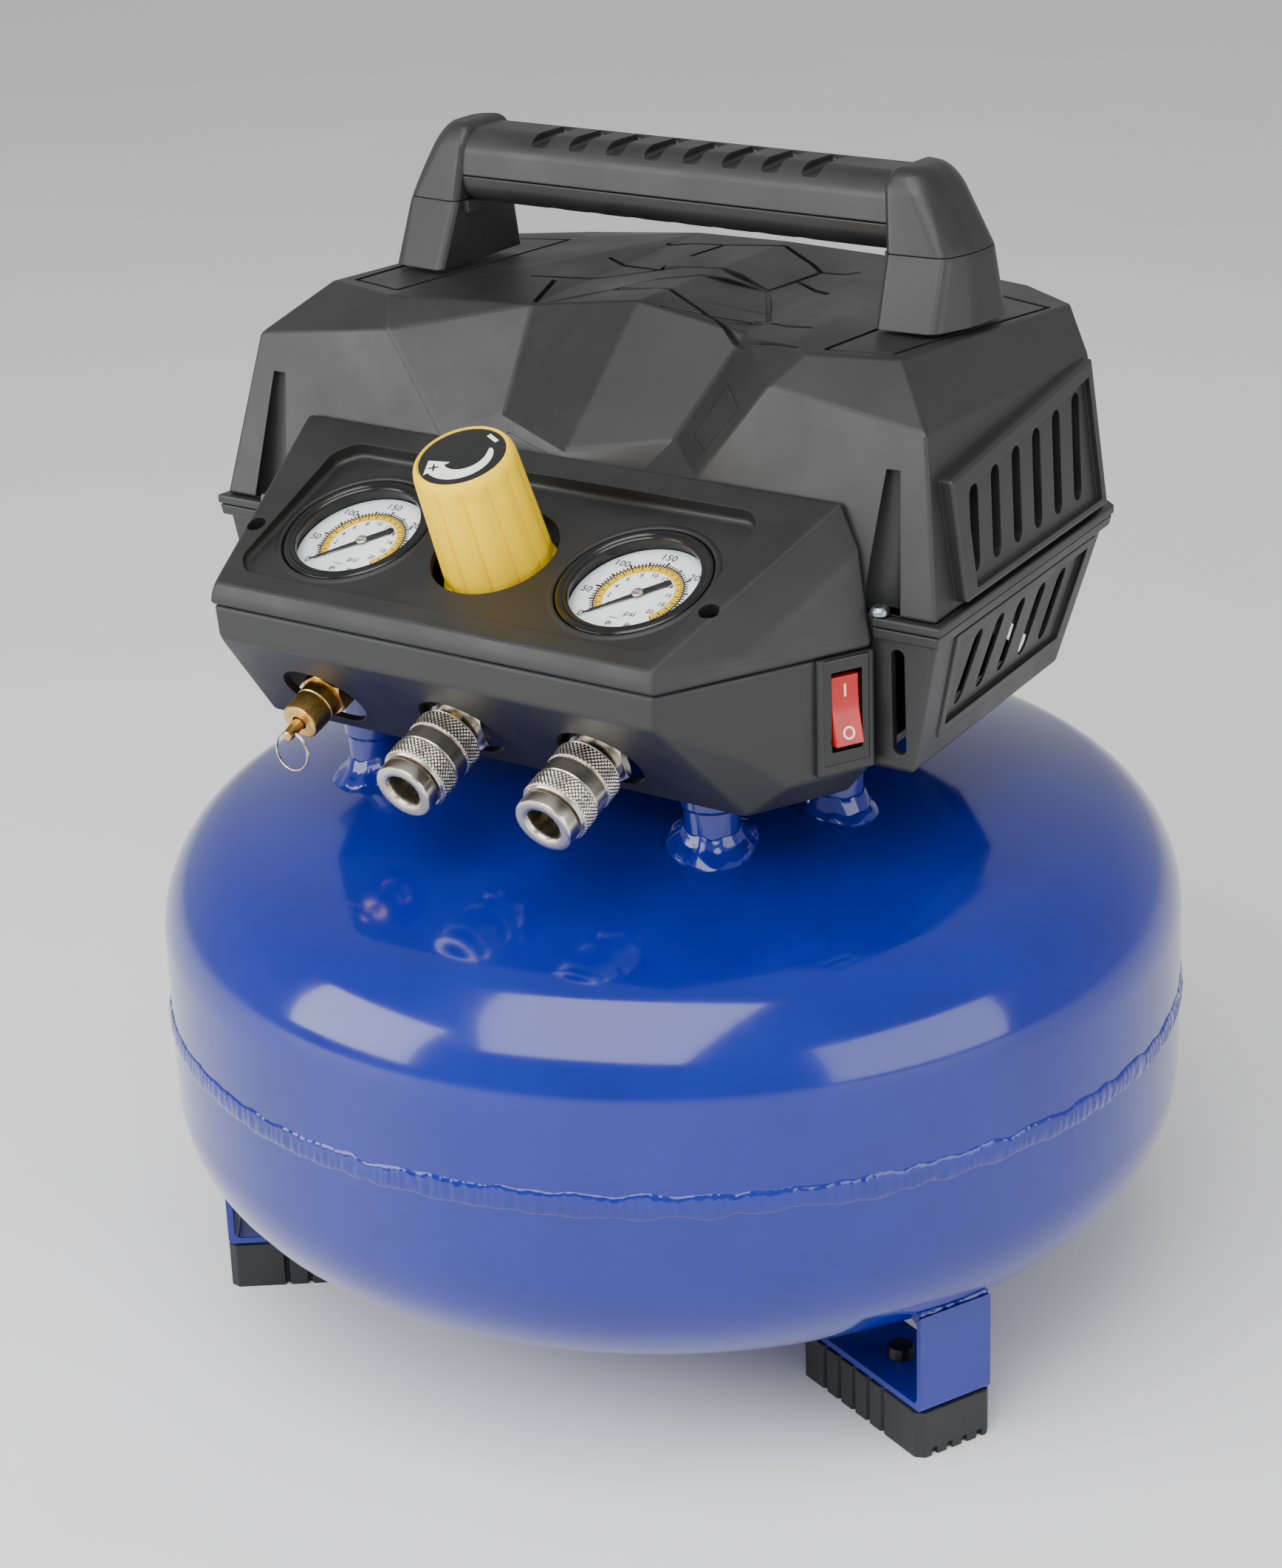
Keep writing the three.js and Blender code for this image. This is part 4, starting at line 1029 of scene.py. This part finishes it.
def lettering(text, size, thick):
    # Plain upright characters as a solid, centred on the origin.
    curve = bpy.data.curves.new("lettering", "FONT")
    curve.body = text
    curve.size = size
    curve.extrude = thick / 2
    curve.align_x = "CENTER"
    curve.align_y = "CENTER"
    curve.resolution_u = 3
    holder = bpy.data.objects.new("lettering", curve)
    link(holder)
    graph = bpy.context.evaluated_depsgraph_get()
    mesh = bpy.data.meshes.new_from_object(holder.evaluated_get(graph))
    bm = empty()
    bm.from_mesh(mesh)
    bpy.data.objects.remove(holder)
    bpy.data.curves.remove(curve)
    bpy.data.meshes.remove(mesh)
    return cleaned(bm)


ink = {"low": 1.55, "high": 1.66}
zero = 222


def lettered(text, size, radius, degrees):
    a = radians(degrees)
    return shifted(
        lettering(text, size, ink["high"] - ink["low"]),
        radius * cos(a), radius * sin(a), (ink["low"] + ink["high"]) / 2,
    )


def gaugeBlackPrint():
    low, high = ink["low"], ink["high"]
    parts = [arcBand(16.6, 17.05, -42, 222, low, high)]
    for i in range(51):
        long = i % 5 == 0
        far = 19.3 if i % 10 == 0 else 18.7 if long else 18.2
        parts.append(tick(16.8, far, zero - i * 4.56, 0.8 if long else 0.55, low, high))
    for i in range(61):
        parts.append(tick(15.4 if i % 3 else 14.2, 16.6, zero - i * 4.4, 0.42, low, high + 0.03))
    for value, degrees in ((0, 221), (50, 184), (100, 138), (150, 90), (200, 40)):
        parts.append(lettered(str(value), 4.5, 21.7, degrees))
    for i in range(11):
        parts.append(lettered(str(2 * i), 3.1, 11.4, 218 - i * 25.5))
    parts.append(shifted(lettered("psi", 4, 0, 0), 2.6, -9.8, 0))
    parts.append(shifted(tick(-2, 2, 0, 0.3, low, high), -2.4, -13.2, 0))
    return merged(*parts)


def needleShape():
    outline = [
        (-20.9, 0.2), (-3, 0.75), (0, 1.3), (4, 1.25), (12.4, 1.15), (12.7, 0.8), (12.7, -0.8),
        (12.4, -1.15), (4, -1.25), (0, -1.3), (-3, -0.75), (-20.9, -0.2),
    ]
    bm = prism(outline, 2.3, 2.9)
    soften(bm, 0.12, 2, 40)
    return moved(bm, Matrix.Rotation(radians(45), 4, "Z"))


def slottedCap(radius, low, high, slotWidth):
    edge = (high - low) * 0.45
    cap = lathe([(0, low), (radius, low), (radius, high - edge), (radius - edge, high), (0, high)], 32)
    half = slotWidth / 2
    cut = block(-radius - 1, radius + 1, -half, half, high - edge, high + 1)
    return cutBy(cap, cut)


for sideName, sign in (("Left", -1), ("Right", 1)):
    sideKey = sideName.lower()
    place = control @ Matrix.Translation((sign * gauge["x"], gauge["y"], 0))
    case = lathe(
        [
            (0, -21), (28, -21), (28, 3), (29.4, 3), (29.4, 7.6), (29.1, 8.2), (28.4, 8.6),
            (27.6, 8.75), (26.8, 8.5), (26.2, 8.1), (25.7, 8.2), (25.1, 8.2), (24.6, 7.8),
            (24.4, 7.2), (24.4, 6.5), (26.6, 6.4), (26.6, -1), (0, -1),
        ],
        96,
    )
    stem = rod((0, 0, -33), (0, 0, -20), 6)
    piece(
        "gaugeCase" + sideName, joined(case, stem), "gaugeBlack",
        ["gauge_case_" + sideKey], place,
    )
    card = soften(rod((0, 0, -0.7), (0, 0, 1.55), 26.3, sides=96), 0.15, 2, 60)
    piece("gaugeCard" + sideName, card, "gaugeCard", ["gauge_dial_" + sideKey], place)
    piece("gaugeScale" + sideName, gaugeBlackPrint(), "blackInk", place=place, weighted=False)
    piece(
        "gaugeBand" + sideName, arcBand(13.4, 16.5, -42, 222, ink["low"], ink["high"]), "yellowInk",
        place=place, weighted=False,
    )
    spots = ((-2.6, -16.6), (5, -16))
    screws = [shifted(slottedCap(1.25, 1.5, 2.1, 0.35), x, y, 0) for x, y in spots]
    piece("gaugeScrews" + sideName, merged(*screws), "nickelPlate", place=place)
    piece(
        "gaugeNeedle" + sideName, needleShape(), "blackInk", ["gauge_needle_" + sideKey], place,
        body="needle_" + sideKey,
    )
    piece(
        "needleHub" + sideName, slottedCap(2.3, 2.92, 3.58, 0.5), "nickelPlate", place=place,
        body="needle_" + sideKey,
    )
    lens = lathe([(0, 4.95), (26.2, 4.95), (26.2, 5.4), (22, 5.7), (12, 5.95), (0, 6.05)], 96)
    piece("gaugeLens" + sideName, lens, "clearLens", ["gauge_lens_" + sideKey], place)
print("gauges made")

# Regulator knob.
knob = {"flutes": 12, "steps": 192}


def regulatorKnob():
    outer = [(22, -4.4), (22, -0.8), (21.4, 0.6)]
    rise = [(20.9 - 1.5 * i / 18, 1.6 + 45 * i / 18) for i in range(19)]
    brow = [(19.25, 48.2), (18.8, 49.9), (18.1, 51.1), (17.4, 51.8), (16.9, 51.8), (16.7, 51.2)]
    socket = [(5.1, 38), (5.1, 30), (16, 30), (16, -4.4)]
    profile = [*socket, *outer, *rise, *brow, (0, 51.2), (0, 38), (5.1, 38)]
    bm = lathe(profile, knob["steps"])
    for v in bm.verts:
        r = hypot(v.co.x, v.co.y)
        if r < 17.5 or v.co.z > 50:
            continue
        share = (atan2(v.co.y, v.co.x) / fullTurn * knob["flutes"]) % 1
        near = min(share, 1 - share)
        fade = min(1, (50 - v.co.z) / 5)
        groove = 0.55 * max(0, 1 - near / 0.06) ** 1.2
        flat = 0.55 * (1 - cos(pi * (1 - 2 * near))) / 2
        drop = (groove + flat) * fade
        if v.co.z < 1:
            drop = 0.35 * flat
        shrink = 1 - drop / r
        v.co.x *= shrink
        v.co.y *= shrink
    return bm


def turnArrow():
    low, high = 51.42, 51.52
    outline = []
    inner = []
    for i in range(41):
        t = i / 40
        a = radians(238 + 162 * t)
        half = 3 * (1 - t) ** 0.5 + 0.3
        outline.append(((10.6 + half) * cos(a), (10.6 + half) * sin(a)))
        inner.append(((10.6 - half) * cos(a), (10.6 - half) * sin(a)))
    band = prism([*outline, *reversed(inner)], low, high)
    a = radians(238)
    tip = radians(205)
    head = prism(
        [
            (5 * cos(a), 5 * sin(a)), (12.6 * cos(tip), 12.6 * sin(tip)),
            (15.7 * cos(a), 15.7 * sin(a)),
        ],
        low, high,
    )
    lean = Matrix.Translation((5.6, 12.2, 0)) @ Matrix.Rotation(-0.45, 4, "Z")
    return merged(band, head, moved(block(-3, 3, -0.8, 0.8, low, high), lean))


def plusMark():
    bars = [block(-2, 2, -0.38, 0.38, 51.5, 51.58), block(-0.38, 0.38, -2, 2, 51.5, 51.57)]
    a = radians(231)
    spot = Matrix.Translation((11 * cos(a), 11 * sin(a), 0))
    return moved(merged(*bars), spot @ Matrix.Rotation(0.5, 4, "Z"))


piece("regulatorKnob", regulatorKnob(), "yellowKnob", ["regulator_knob"], control, body="knob")
piece(
    "knobLabel",
    merged(soften(rod((0, 0, 51.1), (0, 0, 51.45), 16.4, sides=96), 0.1, 2, 60), plusMark()),
    "labelFilm", place=control, body="knob",
)
piece("knobArrow", turnArrow(), "whiteInk", place=control, body="knob", weighted=False)
print("knob made")

# Outlets.


def hexNut(across, low, high):
    # across is the corner radius.
    bm = rod((0, 0, low), (0, 0, high), across, sides=6)
    inner, outer = across * 0.9, across * 1.01
    profile = [
        (0, low - 0.01), (inner, low - 0.01), (outer, low + 1), (outer, high - 1),
        (inner, high + 0.01), (0, high + 0.01),
    ]
    return within(bm, lathe(profile, 72))


def knurledSleeve():
    # Two diamond knurled bands with a smooth waist between them.
    bands = [(47.2, 54), (62.2, 70)]
    profile = [(10.4, 46), (12.4, 46), (13, 46.6)]
    rows = 22
    for low, high in bands:
        profile.append((12.6, low - 0.2))
        profile += [(13, low + (high - low) * i / rows) for i in range(rows + 1)]
        profile.append((12.6, high + 0.25))
        if low < 50:
            profile += [(12.55, 54.6), (12.85, 55), (12.85, 61.2), (12.55, 61.6)]
    profile += [(12.7, 70.6), (12.2, 71.2), (10.4, 71.2), (10.4, 46)]
    bm = lathe(profile, 288)
    for v in bm.verts:
        r = hypot(v.co.x, v.co.y)
        z = v.co.z
        inside = [(low, high) for low, high in bands if low - 0.01 <= z <= high + 0.01]
        if r < 12.9 or not inside:
            continue
        turn = atan2(v.co.y, v.co.x) / fullTurn * 48
        rise = z / 1.9
        one = abs(((turn + rise) % 1) - 0.5) * 2
        two = abs(((turn - rise) % 1) - 0.5) * 2
        grow = 1 + min(0.38 * min(one, two) * 1.6, 0.38) / r
        v.co.x *= grow
        v.co.y *= grow
    return bm


def couplerBody():
    core = lathe(
        [
            (6.5, 54), (10, 54), (10, 71.4), (10.9, 71.9), (11.6, 72.2), (11.8, 72.8), (11.8, 77),
            (11.5, 77.7), (10.9, 78), (8.1, 78), (7.2, 77.5), (6.7, 76.4), (6.5, 75), (6.5, 54),
        ],
        96,
    )
    barrel = lathe([(0, 40.5), (10, 40.5), (10, 56), (0, 56)], 64)
    return joined(hexNut(13.4, 38, 41.2), barrel, core)


def nipple():
    thread = lathe(
        [(0, 11.3), (6.6, 11.3)]
        + [(7 - 0.55 * (i % 2), 11.8 + i * 0.62) for i in range(42)]
        + [(6.4, 37.7), (0, 37.7)],
        48,
    )
    return joined(hexNut(9.5, 12, 30), thread)


def outletPlace(x):
    return control @ Matrix.Translation((x, 0, -44.6)) @ forward


for sideName, x in (("Left", -7), ("Right", 56)):
    sideKey = sideName.lower()
    place = outletPlace(x)
    piece("outletNipple" + sideName, nipple(), "turnedBrass", ["outlet_nipple_" + sideKey], place)
    piece("couplerBody" + sideName, couplerBody(), "nickelPlate", ["coupler_body_" + sideKey], place)
    piece(
        "couplerSleeve" + sideName, knurledSleeve(), "nickelPlate", ["coupler_sleeve_" + sideKey],
        place, body="sleeve_" + sideKey, smooth=24,
    )

# Safety valve.
valvePlace = outletPlace(-72)


def valveBody():
    barrel = lathe(
        [
            (0, 40), (7.7, 40), (8, 40.4), (8, 46.1), (7.6, 46.5), (7.6, 47.1), (7.95, 47.5),
            (7.7, 55.4), (7.3, 56.2), (6.6, 56.5), (0, 56.5),
        ],
        72,
    )
    tail = lathe([(0, 11.3), (6, 11.3), (6, 32), (0, 32)], 40)
    bore = rod((0, 0, 42.5), (0, 0, 70), 3)
    return combined(
        hexNut(10, 30.5, 40.5), [("UNION", barrel), ("UNION", tail), ("DIFFERENCE", bore)]
    )


def valvePin():
    pin = lathe([(0, 44.5), (2.5, 44.5), (2.35, 57.5), (2.2, 64.3), (1.7, 64.9), (0, 65)], 40)
    return cutBy(pin, rod((-5, 0, 62), (5, 0, 62), 1.1))


piece("valveBody", valveBody(), "turnedBrass", ["safety_valve_body"], valvePlace)
piece("valvePin", valvePin(), "turnedBrass", ["safety_valve_pin"], valvePlace, body="relief_pin")
ringLow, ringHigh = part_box("safety_valve_ring")
ringMiddle = (ringLow + ringHigh) / 2 / mm


def splitRing():
    # Spring wire wound once and a bit more, the ends side by side.
    turns = [fullTurn * i / 10 for i in range(10)]
    circle = [(0.36 * cos(a), 0.36 * sin(a)) for a in turns]
    wires = []
    for offset, radius in ((-0.26, 7.75), (0.26, 7.6)):
        profile = [(radius + r, z + offset) for r, z in circle]
        wires.append(lathe([*profile, profile[0]], 96))
    return moved(merged(*wires), forward)


piece(
    "pullRing", splitRing(), "nickelPlate", ["safety_valve_ring"], Matrix.Translation(ringMiddle),
    body="relief_ring",
)
print("outlets made")


# Switch.
def bezelFrame():
    body = block(-13, 0.6, -8, 8, -17, 17)
    rim = soften(block(0.4, 1.8, -9.6, 9.6, -20, 20), 0.65, 3, 30)
    well = soften(block(-11, 6, -6.4, 6.4, -15, 15), 0.6, 2, 30, lambda e: alongAxis(e, 0))
    return combined(body, [("UNION", rim), ("DIFFERENCE", well)])


def rockerBar():
    sideLine = [
        (-9, -4), (-1.5, -12.7), (4.2, -12.7), (3.1, -9), (1.9, -4.6), (0.9, 0), (0.55, 4.4),
        (0.4, 8.6), (0.4, 12.7), (-3, 12.7), (-9, 4),
    ]
    bm = prism(sideLine, -6, 6)
    soften(bm, 0.7, 3, 30)
    return moved(bm, forward)


def faceMark(bm, height, lean):
    # Lays flat lettering made in XY on the rocker's face.
    x = 2.9 if height < 0 else 0.47
    return moved(bm, Matrix.Translation((x, 0, height)) @ Matrix.Rotation(lean, 4, "Y") @ ontoX)


def rockerMarks():
    ring = arcBand(1.7, 2.4, 0, 359.9, -0.3, 0.1, 40)
    bar = block(-0.36, 0.36, -2.4, 2.4, -0.3, 0.1)
    return merged(faceMark(ring, -8.2, -0.267), faceMark(bar, 7.2, -0.036))


piece(
    "switchBezel", bezelFrame(), "gaugeBlack", ["switch_bezel"], switchPlace, slot="black_moulding",
)
piece("rocker", rockerBar(), "redRocker", ["switch_rocker"], switchPlace, body="rocker")
piece("rockerMarks", rockerMarks(), "whiteInk", place=switchPlace, body="rocker", weighted=False)


# Cover screws.
def coverScrew():
    head = lathe([(0, 0.05), (3.6, 0.05), (3.6, 1.1), (3.3, 2), (2.5, 2.8), (1.2, 3.1), (0, 3.15)], 48)
    cross = [block(-2, 2, -0.45, 0.45, 1.3, 5), block(-0.45, 0.45, -2, 2, 1.3, 5)]
    return cutBy(head, *cross)


for sideName in ("Left", "Right"):
    node = "cover_screw_" + sideName.lower()
    low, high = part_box(node)
    middle = (low + high) / 2 / mm
    piece(
        "coverScrew" + sideName, coverScrew(), "zincSteel", [node],
        Matrix.Translation((middle.x, middle.y, 327.5)),
    )
print("switch and screws made")

# Nodes kept from the CAD.
kept = {
    "cord_gland": "footRubber", "drain_body": "turnedBrass", "drain_screw": "turnedBrass",
    "foot_screw_right": "blackScrew", "foot_screw_left": "blackScrew", "foot_screw_rear": "blackScrew",
    "pressure_manifold": "castAlloy", "regulator_body": "zincSteel", "pump_deck": "motorSteel",
    "motor_stator": "motorSteel", "motor_rotor": "motorSteel", "cooling_fan": "blackMoulding",
    "crankcase": "castAlloy", "crank_eccentric": "zincSteel", "piston_rod": "castAlloy",
    "pump_cylinder": "castAlloy", "cylinder_head": "castAlloy", "transfer_tube": "copperPipe",
    "check_valve": "turnedBrass", "pressure_switch": "blackMoulding",
}
for name, look in kept.items():
    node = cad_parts[name]
    node.material_slots[0].material = material[look]

# Studio.
floorShape = empty()
bmesh.ops.create_grid(floorShape, x_segments=1, y_segments=1, size=6)
floor = asObject(floorShape, "floor")
floor.data.materials.append(material["studioFloor"])

lamps = {
    "leftSoft": {"turn": -125, "lift": 17, "away": 1.8, "size": (1.0, 1.0), "power": 22},
    "frontSoft": {"turn": -75, "lift": 50, "away": 2.0, "size": (1.6, 1.9), "power": 52},
    "rightSoft": {"turn": -5, "lift": 11, "away": 1.9, "size": (1.4, 1.0), "power": 15},
}
aim = Vector((0, 0, 0.2))
for name, lamp in lamps.items():
    light = bpy.data.lights.new(name, "AREA")
    light.shape = "RECTANGLE"
    light.size, light.size_y = lamp["size"]
    light.energy = lamp["power"]
    holder = bpy.data.objects.new(name, light)
    link(holder)
    a, e = radians(lamp["turn"]), radians(lamp["lift"])
    way = Vector((cos(e) * cos(a), cos(e) * sin(a), sin(e)))
    holder.matrix_world = Matrix.Translation(aim + way * lamp["away"]) @ facing(way)
world = bpy.data.worlds.new("studio")
world.use_nodes = True
sky = world.node_tree.nodes["Background"]
sky.inputs["Color"].default_value = linear("#ffffff")
sky.inputs["Strength"].default_value = 0.55
bpy.context.scene.world = world

optics = bpy.data.cameras.new("camera")
optics.sensor_width = 36
optics.lens = 78.755
optics.shift_x = 0.0162
optics.shift_y = -0.0085
optics.clip_start = 0.05
camera = bpy.data.objects.new("camera", optics)
link(camera)
across = Vector((0.81684, 0.57576, -0.03561))
upward = Vector((-0.18557, 0.32072, 0.92882))
backward = Vector((0.5462, -0.75209, 0.36882))
turn = Matrix((across, upward, backward)).transposed().to_4x4()
camera.matrix_world = Matrix.Translation((0.734736, -1.047264, 0.724878)) @ turn
bpy.context.scene.camera = camera

print("studio made")
